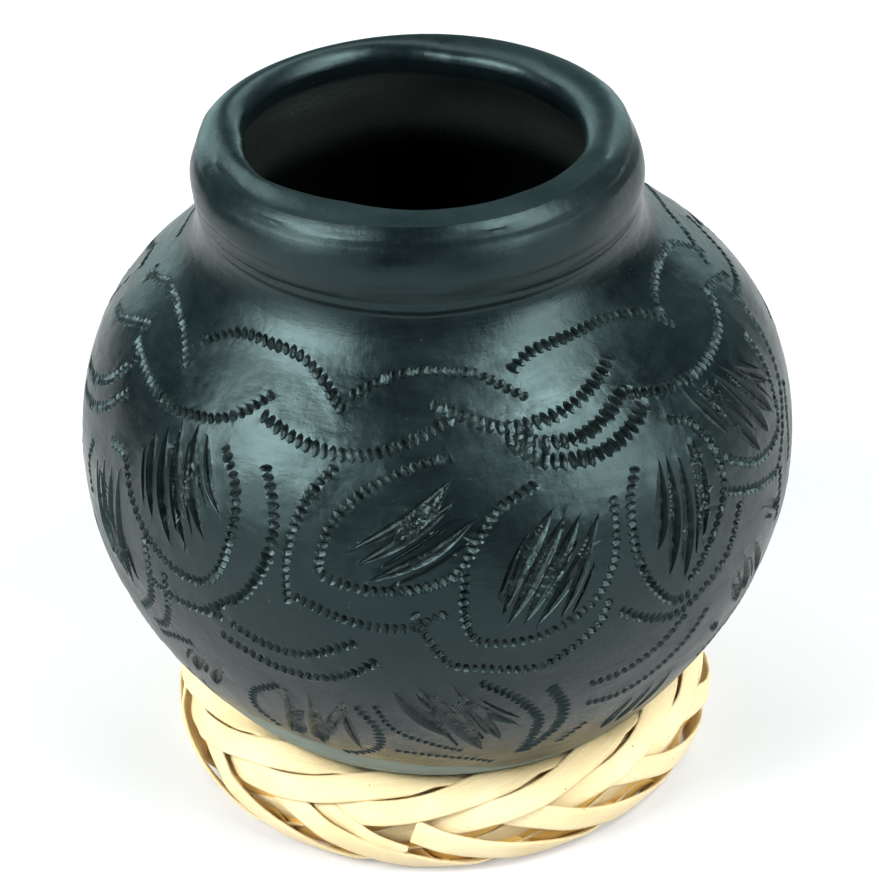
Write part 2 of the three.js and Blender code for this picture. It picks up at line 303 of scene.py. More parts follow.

# %% [markdown]
# ## The ornament
#
# The potter rolled or pressed a small tool along curved lines, which left rows of short notches
# side by side, and cut fans of long tapered strokes. The rows form scallops under the neck,
# swags below them, and petals round the belly. Each row is given here as a drawn line: an
# angle round the pot in degrees, and a distance in millimetres above or below the widest line.
# The same set is used twice, once on the front and once on the back, because the photograph
# doesn't show the back.

# %% List the rows of notches and the strokes
# Each row: length of its notches in mm, their slant in degrees, and the line that it follows
ROWS = [
    (1.15, 20, [(-93, 22.2), (-89, 23.4), (-84, 24.4), (-79, 25.6), (-73, 25.7), (-66.8, 25),
                (-61.4, 24.1), (-54.9, 21.8)]),
    (1.15, 20, [(-54.9, 24.7), (-50.3, 26.4), (-45.2, 27.5), (-37.5, 27.6), (-29.3, 27.3),
                (-22.7, 25.5), (-17.8, 23)]),
    (1.0, -15, [(-16, 24.5), (-11.5, 25.8), (-6.4, 26.8), (0, 27.1), (5.8, 26.8), (10.9, 26.1),
                (18.2, 23.4)]),
    (1.15, 20, [(17.8, 26.3), (22.4, 27.4), (28, 27.7), (44, 27.8), (51.6, 26.9), (56, 25.6),
                (59.1, 23.4)]),
    (1.15, 20, [(59, 25.1), (62.4, 26.6), (67.5, 27.6), (73.9, 27.8), (80.9, 27.4), (86, 26.1),
                (91.5, 22.6)]),
    (1.2, 15, [(-98, 18.4), (-91, 17.9), (-84, 18.5), (-79, 20), (-72.9, 21.6)]),
    (1.15, 15, [(-72.2, 19.8), (-67.5, 19.2), (-58.6, 18), (-52.9, 17.6), (-47.2, 18.1), (-42, 18.8),
                (-37.5, 20.2), (-32.8, 22.8)]),
    (1.3, 10, [(-32.4, 20.7), (-27.4, 19.7), (-21, 18.8), (-14.7, 18.6), (-8.3, 19.3), (-2.5, 20.7),
               (2.5, 22)]),
    (1.4, 10, [(0.4, 23.7), (5.1, 22.6), (10.2, 21.2), (15.9, 20.6), (24.9, 21.1), (30.6, 22.1),
               (36.3, 23.4), (39.2, 24.4)]),
    (1.5, 8, [(13.1, 19.7), (17.8, 18.8), (24.9, 18.2), (31.2, 19.1), (35.7, 20.4), (38.2, 20.9)]),
    (1.6, 8, [(14.4, 18.7), (18.5, 16.9), (24.9, 16.2), (28.7, 16.2), (35, 17.2), (39.8, 18.7)]),
    (1.15, 15, [(38.6, 20.3), (45.9, 19), (55.4, 18.3), (65, 18.9), (70.7, 19.8), (75.2, 21.2)]),
    (1.15, 15, [(76.1, 21.9), (80.9, 21.4), (84, 20.6), (88, 19.5)]),
    (1.2, 10, [(-88, 11.2), (-82.4, 11.8), (-77.6, 12.8), (-72.6, 14.9), (-69.4, 17.6), (-68.7, 18.7)]),
    (1.2, 10, [(-86, 9.3), (-80.5, 9.7), (-73.2, 11.2), (-68.4, 13.5), (-65.5, 15.6)]),
    (1.05, 10, [(-64.6, 10.3), (-59.8, 10.5), (-56.6, 7.4), (-52.2, 4.5), (-46.5, 2.5), (-41.3, 2.1),
                (-37.8, 3), (-35, 5.8), (-33.5, 10.5), (-34.4, 13.7), (-37.8, 16.5)]),
    (1.2, -10, [(-29.3, 16), (-27.1, 13), (-26.6, 9.7), (-28, 6.4), (-31.5, 2.8), (-35.6, 0.8),
                (-38.8, -1)]),
    (1.0, 10, [(-72.4, 7.4), (-74.1, 4.7), (-72.6, 1.8)]),
    (1.0, 15, [(-17.5, 17.2), (-21, 14.5), (-23.2, 11), (-24.3, 7.2), (-24, 3.4)]),
    (1.0, 15, [(-22.6, 4), (-17.8, 2.8), (-12.7, 1.9), (-6.4, 1.7), (-0.6, 3.2)]),
    (1.05, 15, [(2.3, 18.5), (-2.5, 18), (-8.2, 16.7), (-13, 14.9), (-17.2, 11.8), (-18.9, 8.1),
                (-18.3, 6.8), (-12.7, 5.8), (-6.4, 5.8), (0, 6.8), (2.6, 8.1), (5.1, 10.5),
                (8.9, 13.2), (15.3, 14.9)]),
    (0.95, 15, [(2.9, 7), (2.3, 3.9), (3.2, 0.6), (5.8, -0.5), (11.5, -0.8), (17.2, 0.1), (22.4, 2.2),
                (25.5, 5.1), (26.9, 8.5), (27.6, 11.6)]),
    (0.95, 15, [(-4.8, 3.2), (-3.2, 0.6), (0, -2.8), (5.1, -3.7), (12.8, -4.6), (18.5, -3),
                (22.9, -0.7), (24.4, 1.2)]),
    (1.1, 15, [(32.8, 13.5), (30.5, 11), (29.6, 6.8), (30.9, 2.6), (34.4, -1), (36.9, -2.2),
               (39.2, -2.2)]),
    (1.05, 15, [(43.4, 16.2), (47.2, 14.8), (49.2, 10.5), (48.5, 6.8), (45.3, 3.5), (41.5, 0.6),
                (39.6, -0.3)]),
    (1.1, 15, [(47.5, 14.3), (50, 10.5), (54.5, 8), (59.2, 6.4), (65, 6), (69.4, 6.8), (71.3, 9.3),
               (73.2, 12.6), (73.8, 16)]),
    (1.1, 15, [(50, 6.2), (55.4, 4.5), (61.8, 3.1), (66.5, 3), (71.9, 6.4), (76.4, 9.7), (79.6, 13.7),
               (81.5, 16.8)]),
    (1.1, 15, [(78, 8.1), (75.1, 5.6), (72.9, 1)]),
    (1.2, 10, [(67.3, 1.8), (66.8, -1), (66.6, -3.7)]),
    (1.0, 10, [(-51.5, -0.9), (-49, -1.3), (-44.5, -1.5), (-36.3, -1)]),
    (1.0, 10, [(-34, -1.4), (-28.6, -2.6), (-22.3, -2.8), (-14.3, -0.5)]),
    (1.05, 10, [(-36.3, -3.4), (-31.2, -4.7), (-25.5, -5.7), (-19.1, -5.6), (-14.3, -4.2),
                (-11.4, -2.6)]),
    (1.05, 10, [(-52.2, 3.3), (-51.7, -0.7), (-53.1, -4.3), (-57.6, -7.2)]),
    (1.0, 10, [(-47.7, 0.6), (-48, -3.2), (-50.6, -6.7), (-54.4, -8.1)]),
    (1.0, 10, [(-54.1, -9.6), (-49, -8.1), (-45.2, -7.5)]),
    (1.1, 10, [(26.8, -0.5), (31.2, -2.6), (36.9, -4), (42.7, -2.8), (48.4, -0.3), (51.9, 3.9)]),
    (1.05, 10, [(22.7, -9.5), (28.7, -9.3), (34.4, -7.7), (38.9, -5.2)]),
    (1.05, 10, [(23, -13.1), (28.7, -13.6), (35, -12.3), (40.8, -9.6), (44.3, -6.5)]),
    (1.0, 10, [(-15, -10), (-12.7, -13.8), (-13.4, -18.1), (-17.8, -20.9), (-21, -21.5)]),
    (1.0, 10, [(-28.7, -8.8), (-33.7, -11.3), (-35.6, -15.2), (-33.1, -18.3)]),
    (0.7, 10, [(-12.1, -9.6), (-9.6, -13.8), (-3.2, -17.1), (0.9, -18.8)]),
    (0.8, 10, [(-10.2, -19), (-4.5, -20), (2.2, -21.6), (7, -23.6)]),
    (1.2, 10, [(4.8, -5.9), (9.6, -8.6), (13.4, -12.3), (14.2, -14.4), (13.4, -18.6), (12.1, -21.7)]),
    (1.35, 10, [(15.7, -8.4), (18.2, -12.3), (17.8, -16.5), (15, -19.8), (13.4, -21.5)]),
    (1.0, 10, [(23.6, -18.1), (21.7, -19.8), (20.1, -21.3)]),
    (1.1, 10, [(-62, -14.5), (-68, -12.6), (-75, -12.4), (-82, -14.5)]),
    (1.1, 10, [(50, -16.5), (58, -14), (67, -13.6), (76, -16)]),
    (1.0, 10, [(-84, 2.5), (-88, -1), (-89, -6), (-86, -10)]),
]

# Each stroke: its greatest width in mm, where along it that lies (0 to 1), and its line
STROKES = [
    (1.1, 0.5, [(-53.9, 14.8), (-52, 10.5), (-50.4, 6.6)]),
    (1.2, 0.6, [(-51.1, 15.8), (-49, 10.5), (-46, 5)]),
    (1.2, 0.5, [(-48.3, 16.5), (-46, 11), (-42.7, 5.7)]),
    (1.2, 0.5, [(-44.9, 17.5), (-43, 12.5), (-39.1, 7.2)]),
    (0.9, 0.5, [(-42.2, 17), (-39.5, 13), (-36.2, 10.2)]),
    (1.2, 0.7, [(-69.4, 6.3), (-67, 0.5), (-63.5, -3)]),
    (1.2, 0.7, [(-66.2, 7.6), (-65, 1), (-62, -3.3)]),
    (1.2, 0.7, [(-63.3, 7.6), (-62.6, 1), (-60.4, -3.6)]),
    (1.2, 0.7, [(-60.6, 8.2), (-59.8, 1), (-58.3, -4.1)]),
    (0.7, 0.5, [(-58.8, 1.8), (-57.3, -0.5), (-56, -2.8)]),
    (0.95, 0.6, [(-14.7, 9.4), (-6, 12.6), (2, 16.4)]),
    (0.9, 0.4, [(-8, 10.6), (-3, 12.8), (1.5, 15.6)]),
    (1.0, 0.5, [(-13.4, 8.1), (-5, 11.3), (2.6, 14.5)]),
    (1.0, 0.5, [(-11.8, 6.5), (-2, 9.5), (5.3, 12.6)]),
    (1.1, 0.4, [(17.3, 12.3), (13, 9), (8, 3.9)]), (1.1, 0.5, [(19.3, 11.6), (14.5, 7.5), (8.6, 1.4)]),
    (1.1, 0.5, [(21.6, 11.2), (17.3, 7.5), (11, 1.2)]),
    (1.0, 0.5, [(24.7, 10.8), (20, 6.5), (12.9, 0.7)]),
    (0.8, 0.5, [(23, 8.8), (20, 5), (16.6, 1)]), (0.9, 0.5, [(15.5, 11), (11.5, 7.5), (7.9, 2.6)]),
    (1.2, 0.7, [(37.6, 13.2), (35.5, 9), (33.5, 4.7)]),
    (1.1, 0.6, [(39.2, 13.2), (37.6, 7.5), (35.4, 1.4)]),
    (1.0, 0.6, [(41.5, 12.6), (40.2, 6.5), (38.3, 0.1)]),
    (0.8, 0.5, [(44.3, 13.4), (43.8, 9), (43, 4.7)]),
    (0.7, 0.5, [(45.6, 13.5), (44.6, 8), (42.4, 3)]),
    (0.9, 0.5, [(49.8, 17), (51.5, 14.5), (53.6, 11.6)]),
    (0.9, 0.5, [(52, 17.4), (54.2, 15.2), (56.6, 12.9)]),
    (1.1, 0.7, [(54.4, 17.3), (56, 12.5), (60.4, 7.1)]),
    (1.2, 0.7, [(57.8, 17.2), (61, 12.5), (64.9, 7.6)]),
    (1.1, 0.7, [(60.6, 17.2), (64, 13), (68.2, 8.7)]),
    (0.9, 0.5, [(64, 15.8), (67, 13.6), (70.9, 11.4)]),
    (1.0, 0.7, [(51, -5), (53.5, -8), (56.7, -10.6)]),
    (1.1, 0.7, [(53.8, -3.1), (56, -6.5), (58.6, -9.8)]),
    (1.1, 0.7, [(56.7, -2.3), (59.5, -5.5), (62.4, -9)]),
    (1.1, 0.8, [(60, 0.6), (63, -0.4), (66.3, -2)]),
    (1.0, 0.6, [(47.8, -10.2), (49.7, -11.3), (51.6, -12.7)]),
    (1.1, 0.4, [(-48, -13.3), (-46, -11), (-43, -9)]),
    (1.1, 0.4, [(-44.5, -14.4), (-42.3, -12), (-39.8, -9.8)]),
    (1.5, 0.8, [(-27, -9.2), (-27.6, -14), (-28.6, -19)]),
    (1.5, 0.8, [(-22.9, -9.2), (-23.4, -14), (-24.8, -19.8)]),
    (1.2, 0.5, [(-17.5, -9.6), (-20.5, -14), (-24.3, -19)]),
    (0.8, 0.5, [(-17.4, -9.9), (-17.6, -14), (-17.2, -19.2)]),
    (1.1, 0.5, [(-25, -12), (-29, -16.5), (-30.5, -19)]),
    (1.5, 0.5, [(-8.9, -6.9), (-5, -11), (-0.6, -15.2)]),
    (1.5, 0.5, [(-4.8, -6.1), (0, -12), (4.8, -19)]),
    (1.2, 0.5, [(-2.5, -7.3), (1, -12), (4.5, -17.7)]), (1.2, 0.5, [(0.4, -6.1), (4, -11), (8, -16.9)]),
    (0.9, 0.4, [(2.3, -8.5), (6.5, -11.5), (10.6, -14)]),
    (1.1, 0.6, [(-80, -4), (-78, -7), (-77, -10)]),
    (1.1, 0.6, [(-77, -3.4), (-75, -6.6), (-73.6, -10)]),
    (1.1, 0.6, [(-74, -3), (-72, -6), (-70, -10)]), (1.1, 0.6, [(77, -3), (78, -7), (80, -11)]),
    (1.1, 0.6, [(74, -3.5), (75, -7.5), (76.5, -11)]), (1.1, 0.6, [(80, -2.6), (82, -6), (84, -10)]),
    (1.2, 0.7, [(33, -16), (31, -19), (30, -22.5)]),
    (1.2, 0.7, [(37, -15.5), (35, -19), (33.5, -22.5)]),
    (1.2, 0.7, [(41, -15), (39.5, -18.5), (37.5, -22)]),
    (1.2, 0.7, [(-58, -16), (-60, -19), (-61, -22.5)]),
    (1.2, 0.7, [(-54, -16.5), (-56, -19.5), (-57, -22.5)]),
    (1.1, 0.7, [(-50, -17), (-51.5, -20), (-52.5, -22.5)]),
]
print(len(ROWS), "rows and", len(STROKES), "strokes on each side of the pot")

# %% [markdown]
# ## Net of points for the relief
#
# Points are laid on a flat map of the belt. The map keeps shapes true: one unit across is one
# radian round the pot, and heights are stretched the same way. Each notch gets a rim of eight
# points and a keel of three, and each stroke five points at every station along it. Between
# them lies a plain grid. Depth is then worked out for every point from the notches and strokes
# that it lies in, so crossing cuts blend.

# %% Find places on the flat map
SEAM = -93.75
SEGMENTS = 192
BELT_LOW, BELT_HIGH = -27.0, 29.8
POINTS_PER_KNOT = 40
map_low, map_high = (np.interp(height, arc, flat) for height in (BELT_LOW, BELT_HIGH))


def on_map(azimuth, height):
    """The flat map's point for an angle in degrees and a distance in mm from the widest line."""
    turned = (np.asarray(azimuth, float) - SEAM) % 360
    return np.stack([np.radians(turned), np.interp(height, arc, flat)], -1)


def follow(line, spacing):
    """Evenly spaced points on a smooth line through the drawn ones, with their radius."""
    line = np.array(line, float)
    dense = np.linspace(0, len(line) - 1, POINTS_PER_KNOT * len(line))
    k = np.minimum(dense.astype(int), len(line) - 2)
    t = dense - k
    smooth = []
    for column in line.T:
        climb = np.gradient(column)
        smooth.append(column[k] * (2 * t ** 3 - 3 * t ** 2 + 1) + climb[k] * (t ** 3 - 2 * t ** 2 + t)
                      + column[k + 1] * (3 * t ** 2 - 2 * t ** 3) + climb[k + 1] * (t ** 3 - t ** 2))
    azimuth, height = smooth
    radius = np.interp(height, arc, fine[:, 0])
    travel = np.hypot(np.diff(np.radians(azimuth)) * (radius[1:] + radius[:-1]) / 2, np.diff(height))
    travel = np.concatenate([[0], np.cumsum(travel)])
    count = max(int(round(travel[-1] / spacing)), 2)
    at = np.linspace(0, travel[-1], count + 1)
    azimuth, height = np.interp(at, travel, azimuth), np.interp(at, travel, height)
    return azimuth, height, np.interp(height, arc, fine[:, 0])


def across_line(place):
    """The way across a line on the map, one unit long at every point."""
    run = np.gradient(place, axis=0)
    return np.stack([-run[:, 1], run[:, 0]], 1) / np.linalg.norm(run, axis=1)[:, None]


print("the belt's map is", round(2 * math.pi, 2), "wide and", round(map_high - map_low, 2), "high")

# %% [markdown]
# No hand cuts twice the same, so every notch is turned and sized a little by chance, and a stroke
# chatters as the tool skips. Chance is seeded, so the pot comes out the same each time. A stroke
# swells towards its widest place and thins to a point. In the photograph finer strokes run beside
# the broad ones on the belly, so most drawn strokes get one, on a side that chance picks.

# %% Set the sizes of the cuts
# Sizes in mm that grow with a cut: a number, and a share of the row's notch length or the
# stroke's width
PITCH, NOTCH_DEPTH = (0.72, 0.13), (0.24, 0.07)
STROKE_DEPTH, FINE_DEPTH, FINE_AWAY = (0.2, 0.22), (0.12, 0.1), (0.12, 1.05)
# Half a notch's length as a share of its length, and half its width as a share of its pitch
NOTCH_HALF, NOTCH_WIDE = 0.62, 0.47
UNEVEN_SIZE, UNEVEN_TURN, UNEVEN_DEPTH = 0.06, 0.07, 0.12
# A stroke: the way between its stations in mm, half its width as a share of the drawn width, its
# thinnest place, how full it swells, and how much the tool chatters by turns and by chance
STATION, STROKE_HALF = 0.5, 0.70
THINNEST, FULLNESS = 0.03, 0.7
CHATTER, CHANCE_CHATTER = 0.08, 0.12
# A finer stroke: half its width, where along the broad one it may start and end, how it fades in
# and out, the fewest stations, and the lowest place on the pot
FINE_HALF, FINE_START, FINE_END = 0.24, (0.12, 0.3), (0.75, 0.95)
FADE_FROM, FADE_TO, FADE_POWER = 0.05, 0.95, 0.5
FEWEST, LOWEST = 5, -14
# A stroke wider than this on the map has its ends at opposite edges of the map
TOO_WIDE = 1
chance = np.random.default_rng(7)


def grown(size, cut):
    """A size that grows with the cut."""
    start, share = size
    return start + share * cut


def uneven(amount):
    """A factor near one, by chance."""
    return 1 + chance.normal(0, amount)


small, large = min(row[0] for row in ROWS), max(row[0] for row in ROWS)
print("notches are", round(grown(PITCH, small), 2), "to", round(grown(PITCH, large), 2), "mm apart")

# %% Place the notches and strokes on the flat map
notches, strokes = [], []


def place_notches(half_turn):
    """Lays the notches of all rows on the map, turned round the pot by half_turn."""
    for length, slant, line in ROWS:
        pitch = grown(PITCH, length)
        azimuth, height, radius = follow([(a + half_turn, h) for a, h in line], pitch)
        place = on_map(azimuth, height)
        run = np.gradient(place, axis=0)
        heading = np.arctan2(run[:, 1], run[:, 0]) + np.radians(90 + slant)
        for p, r, turn in zip(place, radius, heading):
            half = NOTCH_HALF * length * uneven(UNEVEN_SIZE) / r
            wide = NOTCH_WIDE * pitch * uneven(UNEVEN_SIZE) / r
            turn += chance.normal(0, UNEVEN_TURN)
            deep = grown(NOTCH_DEPTH, length) * uneven(UNEVEN_DEPTH)
            # The map's own edge stays free of notches
            if 2 * half < p[0] < 2 * math.pi - 2 * half:
                notches.append((p, turn, half, wide, deep))


def place_strokes(half_turn):
    """Lays all strokes and the finer ones beside them on the map."""
    for width, peak, line in STROKES:
        azimuth, height, radius = follow([(a + half_turn, h) for a, h in line], STATION)
        place = on_map(azimuth, height)
        # A stroke that crosses the map's edge would run right across the map, so it is left out
        if place[:, 0].max() - place[:, 0].min() > TOO_WIDE:
            continue
        t = np.linspace(0, 1, len(place))
        before, after = t / peak, (1 - t) / (1 - peak)
        swell = np.where(t < peak, np.sin(before * math.pi / 2), np.sin(after * math.pi / 2))
        swell = np.clip(swell, THINNEST, 1) ** FULLNESS
        by_turns = np.where(np.arange(len(t)) % 2, 1, -1)
        chatter = 1 + CHATTER * by_turns + chance.normal(0, CHANCE_CHATTER, len(t))
        deep = grown(STROKE_DEPTH, width) * swell * chatter
        strokes.append((place, radius, STROKE_HALF * width * swell, deep))
        part = slice(int(len(t) * chance.uniform(*FINE_START)), int(len(t) * chance.uniform(*FINE_END)))
        if part.stop - part.start > FEWEST and height.mean() > LOWEST:
            fade = np.linspace(FADE_FROM, FADE_TO, part.stop - part.start)
            fade = np.sin(fade * math.pi) ** FADE_POWER
            aside = across_line(place) / radius[:, None]
            beside = place + aside * grown(FINE_AWAY, width) * chance.choice([-1, 1])
            deep = grown(FINE_DEPTH, width) * fade
            strokes.append((beside[part], radius[part], FINE_HALF * width * fade, deep))


for half_turn in (0, 180):
    place_notches(half_turn)
    place_strokes(half_turn)
print(len(notches), "notches and", len(strokes), "strokes")

# %% Gather the points of the net
RIM = np.array([(math.cos(a), math.sin(a)) for a in np.radians(np.arange(0, 360, 45))])
KEEL = np.array([(-0.45, 0), (0.05, 0), (0.5, 0)])
ACROSS_STROKE = (-1, -0.5, 0, 0.5, 1)
# Points of the net that share a square of this size on the map become one
MERGE_SIZE = 0.0022
columns = np.arange(SEGMENTS + 1) * 2 * math.pi / SEGMENTS
row_count = int(round((map_high - map_low) * SEGMENTS / (2 * math.pi)))
levels = np.linspace(map_low, map_high, row_count + 1)
grid = np.stack(np.meshgrid(columns, levels), -1).reshape(-1, 2)
on_edge = np.isin(grid[:, 1], levels[[0, -1]]) | np.isin(grid[:, 0], columns[[0, -1]])

net = []
for place, turn, half, wide, _ in notches:
    spin = np.array([(math.cos(turn), math.sin(turn)), (-math.sin(turn), math.cos(turn))])
    net.append(place + (np.concatenate([RIM, KEEL]) * (half, wide)) @ spin)
for place, radius, width, _ in strokes:
    aside = across_line(place)
    for share in ACROSS_STROKE:
        net.append(place + aside * (share * width / radius)[:, None])
net = np.concatenate(net)
_, first = np.unique(np.round(net / MERGE_SIZE).astype(int), axis=0, return_index=True)
net = net[np.sort(first)]
print(len(net), "points in notches and strokes,", len(grid), "in the grid")

# %% [markdown]
# A notch is a pressed oval: it falls steeply from its edge, lies deeper at one end, and pushes up
# a low rim at both ends. A stroke is gouged with a flat tool, so it is deeper along its sides than
# in the middle, and a low rim runs beside it. The depth of each is worked out from a point's
# distance, as a share of the cut's own half length and half width. Grid points that lie on or
# close to a cut are dropped, because its own points show it better.

# %% Work out how deep every point lies
# Shares of a cut's own half length and half width: where it ends, where its rim ends, where the
# grid may begin, and how far away points are looked for
NOTCH_EDGE, NOTCH_RIM, NOTCH_CLEAR, NOTCH_REACH = 0.97, 1.1, 1.5, 1.6
STROKE_EDGE, STROKE_RIM, STROKE_CLEAR, STROKE_REACH = 0.96, 1.1, 1.3, 2
# How steeply a notch falls from its edge, how much deeper its far end is, and how high in mm the
# rims are
NOTCH_STEEP, NOTCH_DIVE = 1.8, 0.3
NOTCH_RAISED, STROKE_RAISED = 0.07, 0.06
# A stroke's section: shares of its half width, and its depth there
STROKE_SECTION = ([0, 0.5, 1], [0.6, 0.95, 0])
points = np.concatenate([grid, net])
order = np.argsort(points[:, 0])
sorted_u = points[order, 0]
depth = np.zeros(len(points))
raised = np.zeros(len(points))
near = np.zeros(len(points), bool)


def nearby(low, high):
    """The points whose place on the map lies in a box."""
    pick = order[np.searchsorted(sorted_u, low[0]):np.searchsorted(sorted_u, high[0])]
    return pick[(points[pick, 1] > low[1]) & (points[pick, 1] < high[1])]


for place, turn, half, wide, deep in notches:
    pick = nearby(place - NOTCH_REACH * half, place + NOTCH_REACH * half)
    offset = points[pick] - place
    along = (offset[:, 0] * math.cos(turn) + offset[:, 1] * math.sin(turn)) / half
    aside = (offset[:, 1] * math.cos(turn) - offset[:, 0] * math.sin(turn)) / wide
    out = np.hypot(along, aside)
    cut = deep * np.clip((1 - out) * NOTCH_STEEP, 0, 1) * (1 + NOTCH_DIVE * along)
    depth[pick] = np.maximum(depth[pick], np.where(out < NOTCH_EDGE, cut, 0))
    raised[pick] = np.maximum(raised[pick], np.where(out < NOTCH_RIM, NOTCH_RAISED * along ** 2, 0))
    near[pick] |= out < NOTCH_CLEAR
for place, radius, width, deep in strokes:
    reach = (width / radius).max() * STROKE_REACH
    pick = nearby(place.min(0) - reach, place.max(0) + reach)
    best, rim_height = np.zeros(len(pick)), np.zeros(len(pick))
    for k in range(len(place) - 1):
        step = place[k + 1] - place[k]
        t = np.clip(((points[pick] - place[k]) @ step) / (step @ step), 0, 1)
        away = np.linalg.norm(points[pick] - place[k] - t[:, None] * step, axis=1)
        half = (width[k] + (width[k + 1] - width[k]) * t) / (radius[k] + (radius[k + 1] - radius[k]) * t)
        share = away / half
        cut = (deep[k] + (deep[k + 1] - deep[k]) * t) * np.interp(share, *STROKE_SECTION)
        best = np.maximum(best, np.where(share < STROKE_EDGE, cut, 0))
        rim_height = np.maximum(rim_height, np.where(share < STROKE_RIM, STROKE_RAISED, 0))
        near[pick] |= share < STROKE_CLEAR
    depth[pick] = np.maximum(depth[pick], best)
    raised[pick] = np.maximum(raised[pick], rim_height)
depth = np.where(depth > 0, depth, -raised)
keep = ~near
keep[:len(grid)] |= on_edge
keep[len(grid):] = True
points, depth = points[keep], depth[keep]
print(len(points), "points on the belt, the deepest", round(depth.max(), 2), "mm")

# %% [markdown]
# The points are joined into triangles while they are still flat, which Blender's own geometry
# library does in one step, and only then wrapped round the pot. Each point moves in by its depth,
# square to the surface. The depth is also stored on the mesh, so that the finish can be dull
# where the tool cut.

# %% Join the points into a net and wrap it round the pot
flat_points = [Vector(p * BELLY_RADIUS) for p in points]
_, _, triangles, origin, _, _ = delaunay_2d_cdt(flat_points, [], [], 0, 1e-5)
print(len(flat_points), "points in,", len(origin), "out,", len(triangles), "triangles")


def wrap(points, depth):
    """The flat map's points on the pot, sunk by their depth, in mm."""
    azimuth = points[:, 0] + math.radians(SEAM)
    radius, height = (np.interp(points[:, 1], flat, fine[:, k]) for k in (0, 1))
    out_r, out_z = (np.interp(points[:, 1], flat, part) for part in (slope[:, 1], -slope[:, 0]))
    radius = radius - depth * out_r
    height = height - depth * out_z
    return np.stack([radius * np.sin(azimuth), -radius * np.cos(azimuth), height], 1)


def new_mesh(name, places, faces):
    """A mesh object from places in mm, on the pot's own heights."""
    mesh = bpy.data.meshes.new(name)
    mesh.from_pydata([tuple(p) for p in np.asarray(places) * MM], [], faces)
    piece = bpy.data.objects.new(name, mesh)
    bpy.context.scene.collection.objects.link(piece)
    return piece


def mark(piece, name, values):
    """Stores one number for each point of a piece, for its material to read."""
    layer = piece.data.attributes.get(name) or piece.data.attributes.new(name, "FLOAT", "POINT")
    layer.data.foreach_set("value", np.asarray(values, float))


source = [ids[0] for ids in origin]
belt = new_mesh("clay_belt", wrap(points[source], depth[source]), [tuple(t) for t in triangles])
mark(belt, "cut", depth[source])
print("belt:", len(belt.data.vertices), "points")

# %% [markdown]
# ## Foot, neck, lip and inside
#
# These parts are plain turned shapes, so outlines and Spin make them. One outline goes from the
# bottom of the belt to the foot, and another from its top over the lip and down the inside. The
# top of the lip is creased at the front and round at the sides and back. So the outline is drawn
# with the crease, and each of its points also stores how far off the round top lies.

# %% Draw the plain outlines
OUTLINE_COUNT = 22
LIP = (22.8, NECK_TOP + 3.9)
CREASE = (20.7, NECK_TOP + 9.2)
MOUTH_TOP = CREASE[1] - 0.45
BEVEL_END = (18.2, MOUTH_TOP)
BEAD_END = (17, MOUTH_TOP - 1.2)
# Heights on the side of the lip with their radius
LIP_SIDE = np.array([(NECK_TOP, 22.6), (NECK_TOP + 1.4, 22.45), (LIP[1] - 1, 22.7), LIP[::-1]])


def round_corner(start, end, up_first, sweep, count):
    """Points on part of an ellipse from start to end, without the start."""
    angle = np.radians(np.linspace(0, sweep, count + 1)[1:])
    whole = math.radians(sweep)
    slow = (1 - np.cos(angle)) / (1 - math.cos(whole))
    fast = np.sin(angle) / math.sin(whole)
    near, far = (slow, fast) if up_first else (fast, slow)
    start, end = np.array(start), np.array(end)
    return np.stack([start[0] + (end[0] - start[0]) * near, start[1] + (end[1] - start[1]) * far], 1)


def outline_between(low, high, count):
    """Points of the fine outline between two distances from the widest line."""
    numbers = np.arange(len(arc))
    first, last = np.interp(low, arc, numbers), np.interp(high, arc, numbers)
    at = np.interp(np.linspace(first, last, count), numbers, arc)
    return np.stack([np.interp(at, arc, fine[:, k]) for k in (0, 1)], 1)


foot = outline_between(arc[0], BELT_LOW, OUTLINE_COUNT)
foot[0, 0] = 0
neck = outline_between(BELT_HIGH, arc[-1], OUTLINE_COUNT)
heights = np.linspace(NECK_TOP, LIP[1], 19)[1:]
side = np.stack([np.interp(heights, *LIP_SIDE.T), heights], 1)
face = round_corner(LIP, CREASE, True, 66, 16)
bevel = np.linspace(CREASE, BEVEL_END, 7)[1:]
bead = round_corner(BEAD_END, BEVEL_END, True, 90, 6)[::-1][1:]
throat = curve(BEAD_END, (17.0, NECK_TOP + 5.5), (18.6, NECK_TOP + 4.5), (18.6, NECK_TOP), 12)
inner = np.concatenate([upper_curve(BELLY_RADIUS - WALL, NECK_RADIUS - WALL, 24)[::-1][1:],
                        lower_curve(WALL, 26)[::-1][1:]])
inner[-1, 0] = 0
rim = np.concatenate([neck, side, face, bevel, bead])
print("rim points:", len(rim), "throat:", len(throat), "inside:", len(inner))

# %% Draw the same lip with a round top
ROUND_TOP, ROUND_END = (19.6, 72.2), (17, 70.55)
# Outside this radius the clay lies inside the measured outline by the same SKIN as the belt
SKIN_FROM = 21.9


def travelled(points):
    """How far along a line of points each one lies, from the second on."""
    return np.cumsum(np.linalg.norm(np.diff(points, axis=0), axis=1))


top_from = len(neck) + len(side)
round_top = np.concatenate([round_corner(LIP, ROUND_TOP, True, 90, 60),
                            round_corner(ROUND_TOP, ROUND_END, False, 90, 40)])
travel = travelled(np.concatenate([[LIP], round_top]))
creased_travel = travelled(np.concatenate([[LIP], rim[top_from:]]))
at = creased_travel / creased_travel[-1] * travel[-1]
round_top = np.stack([np.interp(at, travel, round_top[:, k]) for k in (0, 1)], 1)
round_off = np.zeros((len(rim), 2))
round_off[top_from:] = round_top - rim[top_from:]

upper = np.concatenate([rim, throat, inner])
upper[:len(rim), 0] -= np.where(upper[:len(rim), 0] > SKIN_FROM, SKIN, 0)
upper[:len(neck), 0] = neck[:, 0]
outline = np.concatenate([foot, upper])
print("outline points:", len(foot), "below the belt and", len(upper), "above it")

